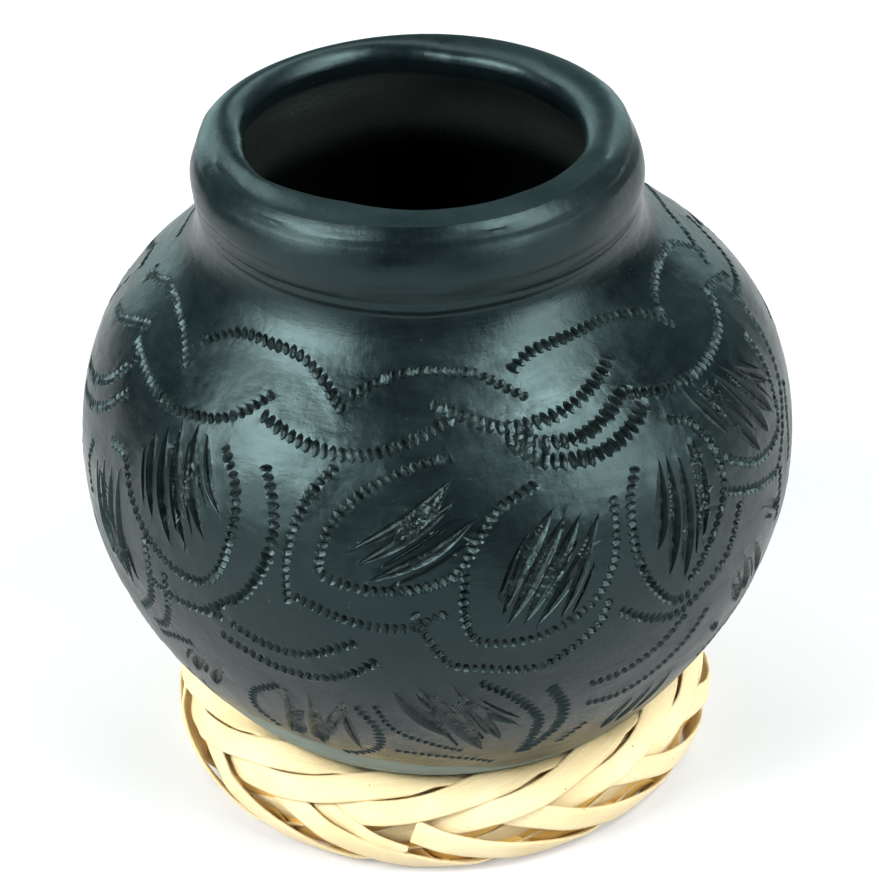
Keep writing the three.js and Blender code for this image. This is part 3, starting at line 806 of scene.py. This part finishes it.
# %% [markdown]
# Spin turns the two outlines round the middle in 192 steps, the same as the belt has, so the
# edges meet point on point. Then the belt is joined to them, double points are merged, and the
# normals are made to point outwards. No open edge may be left.

# %% Spin the plain parts
# The inside begins this many points after the rim, a little way down the throat
THROAT_RUBBED = 4


def choose(thing):
    """Makes one object the only chosen one."""
    deselect()
    thing.select_set(True)
    bpy.context.view_layer.objects.active = thing


turned_points = np.stack([np.zeros(len(outline)), -outline[:, 0], outline[:, 1]], 1)
turned = new_mesh("clay_turned", turned_points, [])
turned.data.edges.add(len(outline) - 2)
links = [(k, k + 1) for k in range(len(outline) - 1) if k != len(foot) - 1]
turned.data.edges.foreach_set("vertices", [v for link in links for v in link])
raw = np.zeros(len(outline))
raw[len(foot) + len(rim) + THROAT_RUBBED:] = 1
mark(turned, "inside", raw)
for axis, name in enumerate(("round_out", "round_up")):
    values = np.zeros(len(outline))
    values[len(foot):len(foot) + len(rim)] = round_off[:, axis]
    mark(turned, name, values)

choose(turned)
bpy.ops.object.mode_set(mode="EDIT")
bpy.ops.mesh.select_all(action="SELECT")
bpy.ops.mesh.spin(steps=SEGMENTS, angle=2 * math.pi, center=(0, 0, 0), axis=(0, 0, 1))
bpy.ops.object.mode_set(mode="OBJECT")
print("turned parts:", len(turned.data.vertices), "points")

# %% Join belt and turned parts into one body of clay
choose(turned)
belt.select_set(True)
bpy.ops.object.join()
clay_pot = turned
clay_pot.name = "black_clay_pot"
bpy.ops.object.mode_set(mode="EDIT")
bpy.ops.mesh.select_all(action="SELECT")
bpy.ops.mesh.remove_doubles(threshold=4e-6)
bpy.ops.mesh.normals_make_consistent(inside=False)
bpy.ops.object.mode_set(mode="OBJECT")
open_edges = len(clay_pot.data.edges) * 2 - sum(len(f.vertices) for f in clay_pot.data.polygons)
print("pot:", len(clay_pot.data.vertices), "points, open edges", open_edges)

# %% [markdown]
# ## Hand-built unevenness
#
# Nothing on a hand-built pot is quite round. The top of the lip is round behind and creased in
# front, its outer edge drops a little there, and the mouth is pinched in places. The points are
# moved in code, because each shift has to follow the measured one. Every shift fades in and out
# smoothly, so the surface stays whole.

# %% Write helpers that move points
# A shift sideways is a share of the radius, which near the middle counts as this much
LEAST_RADIUS = 5


def ease(x):
    """A smooth way from 0 to 1."""
    x = np.clip(x, 0, 1)
    return x * x * (3 - 2 * x)


def rise(x, start, length):
    """0 up to start, then smoothly up to 1 over a length."""
    return ease((x - start) / length)


def fall(x, end, length):
    """Smoothly down from 1 over a length, then 0 from end on."""
    return ease((end - x) / length)


def wave(degrees):
    """The sine of an angle in degrees."""
    return np.sin(np.radians(degrees))


def places_of(piece):
    """Where the points of a piece are, in mm."""
    co = np.zeros(len(piece.data.vertices) * 3)
    piece.data.vertices.foreach_get("co", co)
    return co.reshape(-1, 3) / MM


def put(piece, places):
    """Moves the points of a piece to places in mm."""
    piece.data.vertices.foreach_set("co", (places * MM).astype(np.float32).ravel())
    piece.data.update()


def marked(piece, name):
    """The numbers that mark stored."""
    values = np.zeros(len(piece.data.vertices))
    piece.data.attributes[name].data.foreach_get("value", values)
    return values


def push_out(co, shift, radius):
    """Moves points away from the middle line by a shift in mm."""
    co[:, :2] *= (1 + shift / np.maximum(radius, LEAST_RADIUS))[:, None]


co = places_of(clay_pot)
azimuth = np.degrees(np.arctan2(co[:, 0], -co[:, 1]))
radius = np.hypot(co[:, 0], co[:, 1])
print("before it is shaped, the pot reaches out to", radius.max().round(2), "mm")

# %% Shape the lip and the mouth
# The mouth: an angle in degrees and its radius in mm
MOUTH = [
    (-180, 17.3), (-166, 17.9), (-153, 18.1), (-138, 18.1), (-110, 17.8), (-89, 16.9), (-74, 17.2),
    (-59, 17.2), (-43, 16.2), (-26, 15.6), (-2, 16.2), (35, 16.3), (50, 16.8), (72, 17.2), (88, 16.8),
    (113, 16.3), (127, 16.1), (138, 16.4), (166, 16.4), (180, 17.3),
]
TURNED_MOUTH = 17
# The lip: an angle in degrees and how far the outer edge of its top drops, in mm
LIP_DROP = [
    (-180, 0), (-105, 0), (-72, 0.7), (-52, 0.9), (-30, 0.6), (-12, 0.3), (30, 0.25), (60, 0.1),
    (90, 0), (180, 0),
]
rounded = 1 - rise(azimuth, -88, 26) * fall(azimuth, 78, 26)
push_out(co, rounded * marked(clay_pot, "round_out"), radius)
co[:, 2] += rounded * marked(clay_pot, "round_up")
drop = np.interp(azimuth, *np.array(LIP_DROP).T)
co[:, 2] -= drop * rise(radius, 17.6, 3.0) * rise(co[:, 2], NECK_TOP + 5, 3.8)

radius = np.hypot(co[:, 0], co[:, 1])
pinch = np.interp(azimuth, *np.array(MOUTH).T) - TURNED_MOUTH
pinch *= fall(radius, 20.4, 3.2) * rise(co[:, 2], NECK_TOP + 2.5, 4)
wobble = 0.10 * wave(3 * azimuth + 40) + 0.07 * wave(5 * azimuth - 70)
wobble *= rise(co[:, 2], NECK_TOP - 2, 4) * (radius < 22) * (radius > 15)
push_out(co, pinch + wobble, radius)
print("the mouth is moved by", pinch.min().round(2), "to", pinch.max().round(2), "mm")

# %% [markdown]
# The lip was rolled over and pressed on, which left a crease under it at the front, a few
# scraped grooves at the sides, and shallow dents from the fingers. Each is a small shift in or
# out, strongest along its own line. They are real relief, so the light falls on them as it should.

# %% Press the crease, the grooves and the dents
CREASE_DEPTH, CREASE_FROM, CREASE_TO = 0.36, 59, 63.9
# Each groove: its height, depth and thickness in mm, the angle from the front where it starts,
# and over how many degrees it grows
GROOVES = ((64.6, 0.15, 0.30, 10, 20), (66.3, 0.15, 0.40, 16, 20), (65.4, 0.08, 0.25, 30, 20))
OUTSIDE_FROM = 21.5
height = co[:, 2].copy()
from_front = np.abs(azimuth)
outside = (radius > OUTSIDE_FROM).astype(float)
crease = CREASE_DEPTH * np.clip((height - CREASE_FROM) / 4.2, 0, 1)
crease *= fall(height, CREASE_TO + 0.012 * from_front, 1.0) * fall(from_front, 80, 35)
groove = np.zeros(len(co))
for level, depth, thick, start, growth in GROOVES:
    strength = rise(from_front, start, growth) * (0.7 + 0.5 * wave(4 * azimuth + 60 * level))
    line = level + 0.4 * wave(1.5 * azimuth + 20 * level)
    groove += depth * strength * np.exp(-((height - line) / thick) ** 2)
dents = 0.11 * wave(5 * azimuth + 30 + 22 * height) + 0.06 * wave(13 * azimuth - 50 * height)
dents *= rise(height, NECK_TOP + 2, 3)
push_out(co, (dents - crease - groove) * outside, radius)
print("the crease is", crease.max().round(2), "mm deep and the grooves", groove.max().round(2))

# %% [markdown]
# At last the neck leans a little to one side, and the whole pot moves up to where it sits in the
# ring. Below a wavering line the underside is pale and dull: the clay is left unburnished there,
# and where the line rises at the front left, the pale grey is also a painted reflection. How far a
# point lies below that line is stored for the finish to read.

# %% Lean the neck and mark the bare clay
LEAN_FROM, LEAN_TO = BELLY_DEPTH + 2, NECK_TOP + 3.9
LEAN_ASIDE, LEAN_TILT = -0.66, 0.0194
# Where the pale foot begins, higher at the front left for the painted reflection: an angle in
# degrees and a distance in mm from the widest line
FOOT_LINE = [
    (-180, -26), (-70, -25), (-50, -20), (-36, -19.5), (-30, -20.8), (-20, -22.2), (-10, -23.3),
    (0, -24.5), (6, -26.6), (14, -27.6), (40, -27), (90, -26.4), (180, -26),
]
NEVER_BARE = -9
share = rise(co[:, 2], LEAN_FROM, LEAN_TO - LEAN_FROM)
co[:, 0] += LEAN_ASIDE * share
co[:, 2] -= LEAN_TILT * share * co[:, 0]
below_middle = np.interp(co[:, 2], fine[:, 1], arc)
co[:, 2] += SEAT
put(clay_pot, co)
foot_line = np.interp(azimuth, *np.array(FOOT_LINE).T) + 0.25 * wave(9 * azimuth) + 0.2 * wave(23 * azimuth)
inner_side = marked(clay_pot, "inside") > 0.5
# The bare mark is partly unburnished clay and partly a painted reflection at the front left
mark(clay_pot, "bare", np.where(inner_side, NEVER_BARE, foot_line - below_middle))
choose(clay_pot)
bpy.ops.object.shade_smooth_by_angle(angle=math.radians(26))
print("pot reaches from", co.min(0).round(2), "to", co.max(0).round(2), "mm")

# %% [markdown]
# ## Burnished black clay
#
# Smoke firing turns the clay black right through, and rubbing gives it a metallic, uneven
# sheen. The colour stays nearly the same everywhere, so most of the character is in the
# roughness: patches, fine rubbing marks, and dull clay where the tool cut or the inside was
# never rubbed. Grain and patches are node groups, because the reed uses grain as well.

# %% Build the node groups
def new_group(name, outputs):
    """An empty group that takes a place and gives out values."""
    group = bpy.data.node_groups.new(name, "ShaderNodeTree")
    group.interface.new_socket(name="Place", in_out="INPUT", socket_type="NodeSocketVector")
    for label in outputs:
        group.interface.new_socket(name=label, in_out="OUTPUT", socket_type="NodeSocketFloat")
    return group, group.nodes.new("NodeGroupInput"), group.nodes.new("NodeGroupOutput")


def noise(tree, place, scale, detail=3.0, rough=0.55):
    """A cloudy value between 0 and 1, finer as the scale grows."""
    node = tree.nodes.new("ShaderNodeTexNoise")
    node.inputs["Scale"].default_value = scale
    node.inputs["Detail"].default_value = detail
    node.inputs["Roughness"].default_value = rough
    tree.links.new(place, node.inputs["Vector"])
    return node.outputs["Fac"]


patches, group_in, group_out = new_group("patches", ["Mask"])
broad = noise(patches, group_in.outputs["Place"], 1.0, 4.0)
patches.links.new(spread(patches, broad, 0.35, 0.65), group_out.inputs["Mask"])

grain, group_in, group_out = new_group("grain", ["Mask", "Specks"])
lines = noise(grain, group_in.outputs["Place"], 1.0, 5.0, 0.65)
grain.links.new(spread(grain, lines, 0.3, 0.7), group_out.inputs["Mask"])
dots = noise(grain, group_in.outputs["Place"], 3.1, 1.0)
grain.links.new(spread(grain, dots, 0.76, 0.80), group_out.inputs["Specks"])
print("node groups:", [g.name for g in bpy.data.node_groups])

# %% [markdown]
# In the clay, patches and grain are read on the pot's own Object coordinates, stretched by a
# Mapping node: flat bands where the stone went round, and upright ones where it went up and down.
# The roughness adds them up. The colour goes from one near-black to another, then to a darker
# black in the cuts, which is painted shade, to the duller tone of the inside, and to the pale
# grey of the underside, which is partly a painted reflection, each by its stored mark.

# %% Write helpers for finishes
def stretched(tree, source, scale, turn=(0, 0, 0)):
    """Coordinates that make a pattern finer by a scale along each axis."""
    node = tree.nodes.new("ShaderNodeMapping")
    node.inputs["Scale"].default_value = scale
    node.inputs["Rotation"].default_value = turn
    tree.links.new(source, node.inputs["Vector"])
    return node.outputs[0]


def use_group(tree, group, place, output):
    """Places a node group, and gives one of its outputs."""
    node = tree.nodes.new("ShaderNodeGroup")
    node.node_tree = group
    tree.links.new(place, node.inputs["Place"])
    return node.outputs[output]


def attribute(tree, name):
    """What mark stored on the piece."""
    node = tree.nodes.new("ShaderNodeAttribute")
    node.attribute_name = name
    return node.outputs["Fac"]


def add_up(tree, start, *parts):
    """A start value, plus a share of each part."""
    total = start
    for value, share in parts:
        total = math_node(tree, "ADD", total, math_node(tree, "MULTIPLY", value, share))
    return total


def add_bump(tree, shader, height, strength, distance):
    """Fine relief that only the shading shows."""
    bump = tree.nodes.new("ShaderNodeBump")
    bump.inputs["Strength"].default_value = strength
    bump.inputs["Distance"].default_value = distance
    tree.links.new(height, bump.inputs["Height"])
    tree.links.new(bump.outputs[0], shader.inputs["Normal"])


print("finish helpers:", [helper.__name__ for helper in (stretched, use_group, attribute, add_up, add_bump)])

# %% Finish the clay
CLAY_ROUGHNESS, CLAY_IOR = 0.20, 1.38
# Colours come in pairs where grain or patches blend one into the other
BLACK = (0.0012, 0.0030, 0.0036), (0.0026, 0.0054, 0.0062)
# The pale foot grey is unburnished clay, and at the front left a painted reflection
ASH_GREY_AND_REFLECTION = (0.10, 0.125, 0.11), (0.155, 0.185, 0.16)
# The darker black of the cuts is painted shade in the recesses
CUT_PAINTED_SHADE_BLACK, INSIDE_BLACK = (0.0010, 0.0016, 0.0016), (0.0075, 0.0095, 0.0085)
SPECK_GREY = (0.05, 0.055, 0.05)

clay, tree, shader = start_material("burnished_black_clay")
here = tree.nodes.new("ShaderNodeTexCoord").outputs["Object"]
cloud = use_group(tree, patches, stretched(tree, here, (90, 90, 140)), "Mask")
rubbed = use_group(tree, grain, stretched(tree, here, (300, 300, 1500)), "Mask")
rubbed_up = use_group(tree, grain, stretched(tree, here, (900, 900, 120), (0.2, 0.1, 0)), "Mask")
specks = use_group(tree, grain, stretched(tree, here, (900, 900, 900)), "Specks")
in_cut = spread(tree, attribute(tree, "cut"), 0.02, 0.16)
inner_side = attribute(tree, "inside")
unrubbed_and_reflection = spread(tree, attribute(tree, "bare"), -0.2, 0.2)
dull = math_node(tree, "MAXIMUM", in_cut, inner_side)

shine = add_up(tree, CLAY_ROUGHNESS, (cloud, 0.12), (rubbed, 0.08), (rubbed_up, 0.05), (dull, 0.08),
               (unrubbed_and_reflection, 0.4))
tree.links.new(shine, shader.inputs["Roughness"])
colour = blend_colour(tree, cloud, *BLACK)
# Painted shade: the cuts turn a darker black
colour = blend_colour(tree, in_cut, colour, CUT_PAINTED_SHADE_BLACK)
colour = blend_colour(tree, inner_side, colour, INSIDE_BLACK)
colour = blend_colour(tree, math_node(tree, "MULTIPLY", specks, 0.5), colour, SPECK_GREY)
# The foot turns pale grey: unburnished clay, and a painted reflection at the front left
colour = blend_colour(tree, unrubbed_and_reflection, colour, blend_colour(tree, rubbed, *ASH_GREY_AND_REFLECTION))
tree.links.new(colour, shader.inputs["Base Color"])
shader.inputs["IOR"].default_value = CLAY_IOR
shader.inputs["Specular Tint"].default_value = (0.66, 1.0, 1.0, 1)
soft_dents, roughened = noise(tree, here, 160.0), noise(tree, here, 2600.0)
relief = add_up(tree, 0.0, (rubbed_up, 0.25), (rubbed, 0.25), (soft_dents, 2.2), (roughened, dull))
add_bump(tree, shader, relief, 0.55, 0.0001)
clay_pot.data.materials.clear()
clay_pot.data.materials.append(clay)
print("clay nodes:", len(tree.nodes))

# %% [markdown]
# ## The plaited ring
#
# Seven flat strips of split reed go round the ring, each over and under the others, with
# fourteen turns along each edge. A strip could be drawn as a curve with a flat section, but a
# curve twists freely, and reed lies flat on what is under it. So each strip starts as a grid,
# one way along and the other round its section, and the grid is wrapped onto the way that the
# measured model gives: an angle round the ring, an angle round its thick section, and a layer.

# %% Write down the way of a strip
RING_RADIUS, HALF_WIDTH, REACH_UP, REACH_DOWN = 25.3, 4.7, 5.2, 5.85
# The ring's middle: how far it lies to the side of the pot's, and its height over the table
RING_SHIFT, RING_HEIGHT = -0.71, 4.74
REED_THICKNESS = 0.55
# The way between the middle layer of the plait and the one over or under it
LAYER_SHIFT = 0.9
UP = np.array([0, 0, 1.0])
# A strip's way: an angle round the ring and one round its section, both in degrees
STRIP_WAY = [
    (0, 17.6), (24.2, 47), (36, 68), (48, 86), (58, 99), (66, 104), (74, 98), (82, 74), (91.2, 35.5),
    (125.9, -37.1), (135.5, -53), (147, -57), (158, -54), (167, -28),
]
# A strip's layer: an angle round the ring, and 1 for the outer layer to -1 for the inner one
STRIP_LAYER = [
    (1.8, -0.45), (12.1, 0.42), (16.6, 1), (54, 1), (64, 0), (72, -1), (86.7, -1), (91.1, -0.42),
    (101.8, 0.45), (107.1, 1), (136, 1), (153, -1), (167.4, -1), (177.2, -1),
]


def repeating(pairs, x, period=180.0):
    """A smooth curve through the pairs, which repeats."""
    pairs = np.array(pairs, float)
    pairs = np.concatenate([pairs + (shift, 0) for shift in (-period, 0, period)])
    climb = np.diff(pairs[:, 1]) / np.diff(pairs[:, 0])
    before, after = climb[:-1], climb[1:]
    total = np.where(before + after == 0, 1, before + after)
    tilt = np.concatenate([[0], np.where(before * after > 0, 2 * before * after / total, 0), [0]])
    x = np.mod(x, period)
    k = np.searchsorted(pairs[:, 0], x, side="right") - 1
    span = pairs[k + 1, 0] - pairs[k, 0]
    t = (x - pairs[k, 0]) / span
    return (pairs[k, 1] * (2 * t ** 3 - 3 * t ** 2 + 1) + tilt[k] * span * (t ** 3 - 2 * t ** 2 + t)
            + pairs[k + 1, 1] * (3 * t ** 2 - 2 * t ** 3) + tilt[k + 1] * span * (t ** 3 - t ** 2))


def section_point(degrees, inset):
    """Radius and height of a point on the ring's section, and its way out."""
    turn = np.radians(degrees)
    reach = np.where(np.sin(turn) > 0, REACH_UP, REACH_DOWN)
    out = np.stack([np.cos(turn) / HALF_WIDTH, np.sin(turn) / reach], -1)
    out /= np.linalg.norm(out, axis=-1)[..., None]
    radius = RING_RADIUS + HALF_WIDTH * np.cos(turn) - inset * out[..., 0]
    return radius, reach * np.sin(turn) - inset * out[..., 1], out


def round_ring(degrees, radius, height, out):
    """Places and outward ways in space, with the ring's own middle at the origin."""
    turn = np.radians(degrees)
    side = np.stack([np.sin(turn), -np.cos(turn), np.zeros_like(turn)], -1)
    return side * radius[:, None] + UP * height[:, None], side * out[:, :1] + UP * out[:, 1:]


core_low, core_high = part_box("ring_core")
print("ring core from", [round(v / MM, 2) for v in core_low], "to", [round(v / MM, 2) for v in core_high])

# %% [markdown]
# A grid has two directions, which suit a strip well: one becomes its length, and the other goes
# round its thin section. The points are moved in code, the seam is merged, and open ends are
# filled. Reed is bent over what it lies on, so a strip that comes too close to the pot's underside
# is pushed clear of it and turned to lie flatter against it.

# %% Wrap a grid into a strip of reed
# Section of split reed: [across, outwards] as shares of its width and thickness
REED_SECTION = [
    (-0.5, -0.05), (-0.485, 0.16), (-0.42, 0.32), (-0.25, 0.44), (0, 0.5), (0.25, 0.44), (0.42, 0.32),
    (0.485, 0.16), (0.5, -0.05), (0.47, -0.33), (0.36, -0.48), (0, -0.5), (-0.36, -0.48), (-0.47, -0.33),
]
# Over how many points a torn end is ragged
TORN_LENGTH = 4


def unit(ways):
    """The same ways, one unit long."""
    return ways / np.linalg.norm(ways, axis=1)[:, None]


def reed_strip(name, places, outs, widths, tilts, closed=False, ragged=0.0):
    """One strip along a line of places in mm. It faces outs, and tilts turn it about its length."""
    count, sides = len(places), len(REED_SECTION)
    along = np.roll(places, -1, 0) - np.roll(places, 1, 0)
    if not closed:
        along[0], along[-1] = places[1] - places[0], places[-1] - places[-2]
    along = unit(along)
    outs = unit(outs - along * (outs * along).sum(1)[:, None])
    sideways = np.cross(outs, along)
    c, s = np.cos(tilts)[:, None], np.sin(tilts)[:, None]
    sideways, outs = sideways * c + outs * s, outs * c - sideways * s
    deselect()
    bpy.ops.mesh.primitive_grid_add(x_subdivisions=count - 1, y_subdivisions=sides, size=2)
    strip = bpy.context.object
    strip.name = name
    flat_co = places_of(strip) * MM
    i = np.rint((flat_co[:, 0] + 1) / 2 * (count - 1)).astype(int)
    j = np.rint((flat_co[:, 1] + 1) / 2 * sides).astype(int) % sides
    section = np.array(REED_SECTION)[j]
    co = places[i] + sideways[i] * (section[:, :1] * widths[i][:, None])
    co += outs[i] * (section[:, 1:] * REED_THICKNESS)
    torn = np.random.default_rng(3).uniform(-1, 1, sides)[j]
    torn *= np.clip(1 - (count - 1 - i) / TORN_LENGTH, 0, 1)
    co += along[i] * (ragged * torn)[:, None]
    put(strip, co)
    bpy.ops.object.mode_set(mode="EDIT")
    bpy.ops.mesh.select_all(action="SELECT")
    bpy.ops.mesh.remove_doubles(threshold=1e-6)
    if not closed:
        bpy.ops.mesh.fill_holes(sides=sides)
    bpy.ops.mesh.select_all(action="SELECT")
    bpy.ops.mesh.normals_make_consistent(inside=False)
    bpy.ops.object.mode_set(mode="OBJECT")
    bpy.ops.object.shade_smooth_by_angle(angle=math.radians(50))
    return strip


print("a strip's section has", len(REED_SECTION), "sides")

# %% Keep the strips clear of the pot
# How far off the pot's skin a strip ends up, in mm
LEAST_ROOM = 0.05
# Near the pot a strip turns this much towards it, from this far away in mm
TURN_SHARE, TURN_FROM = 0.4, 0.6


def clear_of_pot(places, outs, room):
    """Pushes places away from the pot's underside, and turns them flat against it there."""
    spot = places + (RING_SHIFT, 0, RING_HEIGHT - SEAT)
    around = np.hypot(spot[:, 0], spot[:, 1])
    here = np.stack([around, spot[:, 2]], 1)
    underside, underside_slope = fine[:LOWER_COUNT:2], slope[:LOWER_COUNT:2]
    nearest = np.argmin(((here[:, None] - underside) ** 2).sum(2), axis=1)
    away = np.stack([underside_slope[nearest, 1], -underside_slope[nearest, 0]], 1)
    free = ((here - underside[nearest]) * away).sum(1)
    push = away * np.maximum(room - free, 0)[:, None]
    level = spot * (1, 1, 0) / around[:, None]
    flat_on = -(level * away[:, :1] + UP * away[:, 1:])
    share = TURN_SHARE * fall(free, room + TURN_FROM, TURN_FROM)[:, None]
    outs = unit(outs * (1 - share) + flat_on * share)
    return places + level * push[:, :1] + UP * push[:, 1:], outs, share[:, 0]


def settle(strip):
    """Moves a strip from the ring's middle to its place, and presses it off the pot and the table."""
    co = places_of(strip)
    co = clear_of_pot(co, np.ones_like(co), LEAST_ROOM)[0] + (RING_SHIFT, 0, RING_HEIGHT)
    co[:, 2] = np.maximum(co[:, 2], 0.0)
    put(strip, co)
    return strip


print("the ring's middle is", RING_HEIGHT, "mm above the table, and the pot's foot", round(SEAT, 2))

# %% [markdown]
# Each strip goes once round. Its width follows what the hand did: broad where it lies flat on
# top and below, narrower where it dives. The strips lie like roof tiles on the upper half, with
# the lower edge of each over the next. The fifth strip's ends meet in the open at the front, one
# over the other and torn, and the others end out of sight.

# %% Plait the seven strips
FIRST_ANGLE, STRIPS, BIGHTS = -30, 7, 14
# Where a strip starts, from its first turn: in the open for one, and out of sight for the others
OPEN_START, HIDDEN_START = {4: -80.7}, 78
STEPS = 330
STRIP_WIDTH, WIDER_ON_TOP, WIDER_BELOW = 2.78, 0.55, 0.5
TILE_TILT = np.radians(9.0)
# The torn end runs this many degrees ahead on its way, is this much narrower, and is this ragged
# in mm
END_SHIFT, END_NARROWER, END_RAGGED = 15, 0.45, 0.5
# The other end of the same strip lies this much further out, in mm, and so goes over it
END_LIFT = 0.25
STRIP_ROOM = 0.06
strips = []
for number in range(STRIPS):
    first_turn = FIRST_ANGLE + 360 / BIGHTS * number
    open_end = number in OPEN_START
    start = first_turn + OPEN_START.get(number, HIDDEN_START)
    degrees = start + np.linspace(0.5 * (1 - open_end), 359.5 - open_end, STEPS + 1)
    phase = degrees - first_turn + END_SHIFT * rise(degrees, start + 318, 24) * open_end
    section = repeating(STRIP_WAY, phase)
    layer = repeating(STRIP_LAYER, phase)
    inset = LAYER_SHIFT * (1 - layer) + REED_THICKNESS / 2
    if open_end:
        inset -= END_LIFT * fall(degrees, start + 9, 6)
    places, outs = round_ring(degrees, *section_point(section, inset))
    widths = STRIP_WIDTH + WIDER_ON_TOP * rise(section, 50, 30) + WIDER_BELOW * fall(section, -15, 20)
    widths += 0.07 * wave(degrees * 7 + 50 * number) + 0.05 * wave(degrees * 17 + 90 * number)
    widths *= 1 - END_NARROWER * rise(degrees, start + 335, 15) * open_end
    tilts = TILE_TILT * rise(section, 5, 30) * rise(layer, -0.2, 0.8)
    places, outs, pressed = clear_of_pot(places, outs, REED_THICKNESS / 2 + STRIP_ROOM)
    tilts *= 1 - pressed
    ragged = END_RAGGED * open_end
    strip = reed_strip(f"reed_strip_{number + 1}", places, outs, widths, tilts, ragged=ragged)
    strips.append(settle(strip))
print("strips:", [(s.name, len(s.data.vertices)) for s in strips])

# %% [markdown]
# Under the plait lies a core of reed that is twisted round the ring, steeper than the strips
# over it. It shows in the gaps in a deeper amber, which is painted shade, and the pot rests on
# its inner slope. The same helper makes its eight wraps, each closed into a loop, and they are
# joined into one piece.

# %% Twist the inner wraps
# How deep the core lies under the plait, and on its bare side under the pot
COVERED, BARE = 2 * LAYER_SHIFT + REED_THICKNESS + 0.05, 0.6
WRAPS, TURNS, WRAP_LIFT, WRAP_STEPS = 8, 4, 0.05, 480
WRAP_WIDTH, WRAP_TILT, WRAP_ROOM = 3.5, np.radians(4.0), 0.16


def core_point(degrees, lift):
    """The core's section, which bulges on its bare side and below."""
    degrees = np.mod(degrees, 360)
    bare = rise(degrees, 100, 30) * fall(degrees, 285, 30)
    lift = lift + 1.5 * np.exp(-((degrees - 290) / 30) ** 2)
    radius, height, _ = section_point(degrees, COVERED + (BARE - COVERED) * bare - lift)
    return np.stack([radius, height], -1)


wrap_pieces = []
for number in range(WRAPS):
    degrees = np.linspace(0, 360, WRAP_STEPS + 1)[:-1]
    around = -TURNS * degrees + 360 / WRAPS * number
    radius, height = core_point(around, WRAP_LIFT).T
    run = core_point(around + 4, WRAP_LIFT) - core_point(around - 4, WRAP_LIFT)
    out = unit(np.stack([run[:, 1], -run[:, 0]], -1))
    places, outs = round_ring(degrees, radius, height, out)
    places, outs, _ = clear_of_pot(places, outs, REED_THICKNESS / 2 + WRAP_ROOM)
    places = np.concatenate([places, places[:1]])
    outs = np.concatenate([outs, outs[:1]])
    widths, tilts = np.full(len(places), WRAP_WIDTH), np.full(len(places), WRAP_TILT)
    wrap_pieces.append(settle(reed_strip(f"wrap_{number}", places, outs, widths, tilts, closed=True)))
choose(wrap_pieces[0])
for piece in wrap_pieces[1:]:
    piece.select_set(True)
bpy.ops.object.join()
inner_wraps = bpy.context.object
inner_wraps.name = "inner_wraps"
print("inner wraps:", len(inner_wraps.data.vertices), "points")

# %% [markdown]
# ## Pale reed
#
# Split reed is smooth, cream to ivory, with fine grain along its length, a slight gloss, and
# brown where it is bent hard or cut. The grain follows each strip, so it reads the strip's own
# map, which the grid brought with it: x runs along the strip and y round its section.

# %% Finish the reed
# The section's middle on the strip's own map, and how far from it the edges begin and end
MIDDLE, EDGE_FROM, EDGE_TO = 0.2857, 0.19, 0.29
SPECK_BROWN = (0.10, 0.06, 0.02)


def reed_finish(name, pale, deep, edge, roughness):
    """Split reed: pale and deep fibres, browner at the edges."""
    material, tree, shader = start_material(name)
    coordinates = tree.nodes.new("ShaderNodeTexCoord")
    here, own = coordinates.outputs["Object"], coordinates.outputs["UV"]
    fibres = use_group(tree, grain, stretched(tree, own, (14, 60, 1)), "Mask")
    fine_fibres = use_group(tree, grain, stretched(tree, own, (45, 190, 1)), "Mask")
    cloud = use_group(tree, patches, stretched(tree, here, (120, 120, 160)), "Mask")
    specks = use_group(tree, grain, stretched(tree, here, (420, 420, 420)), "Specks")
    tone = add_up(tree, 0.0, (fibres, 0.45), (cloud, 0.35), (fine_fibres, 0.2))
    side = tree.nodes.new("ShaderNodeSeparateXYZ")
    tree.links.new(own, side.inputs[0])
    off_middle = math_node(tree, "ABSOLUTE", math_node(tree, "SUBTRACT", side.outputs["Y"], MIDDLE), 0)
    at_edge = spread(tree, off_middle, EDGE_FROM, EDGE_TO)
    colour = blend_colour(tree, tone, deep, pale)
    colour = blend_colour(tree, math_node(tree, "MULTIPLY", at_edge, 0.4), colour, edge)
    colour = blend_colour(tree, math_node(tree, "MULTIPLY", specks, 0.7), colour, SPECK_BROWN)
    tree.links.new(colour, shader.inputs["Base Color"])
    tree.links.new(add_up(tree, roughness, (fibres, 0.12)), shader.inputs["Roughness"])
    add_bump(tree, shader, add_up(tree, fibres, (fine_fibres, 0.5)), 0.5, 0.00008)
    return material


reed = reed_finish("pale_reed", (0.76, 0.66, 0.42), (0.61, 0.46, 0.21), (0.50, 0.33, 0.11), 0.30)
# The inner wraps' deeper, more saturated amber colours are painted shade for the gaps
reed_painted_shade = reed_finish("inner_reed_painted_shade", (0.84, 0.58, 0.18), (0.62, 0.36, 0.07), (0.34, 0.17, 0.03), 0.45)
for strip in strips:
    strip.data.materials.append(reed)
inner_wraps.data.materials.clear()
inner_wraps.data.materials.append(reed_painted_shade)
print("reed finishes:", reed.name, reed_painted_shade.name)

# %% [markdown]
# ## Put every piece in its place
#
# Each dressed piece stands for one part of the measured model and moves with it: the pot lifts
# out of the ring, and the strips stay on the table.

# %% Hand the pieces over
for number, strip in enumerate(strips):
    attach(strip, "ring")
    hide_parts(f"ring_strip_{number + 1}")
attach(inner_wraps, "ring")
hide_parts("ring_core")
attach(clay_pot, "vase")
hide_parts("vase")
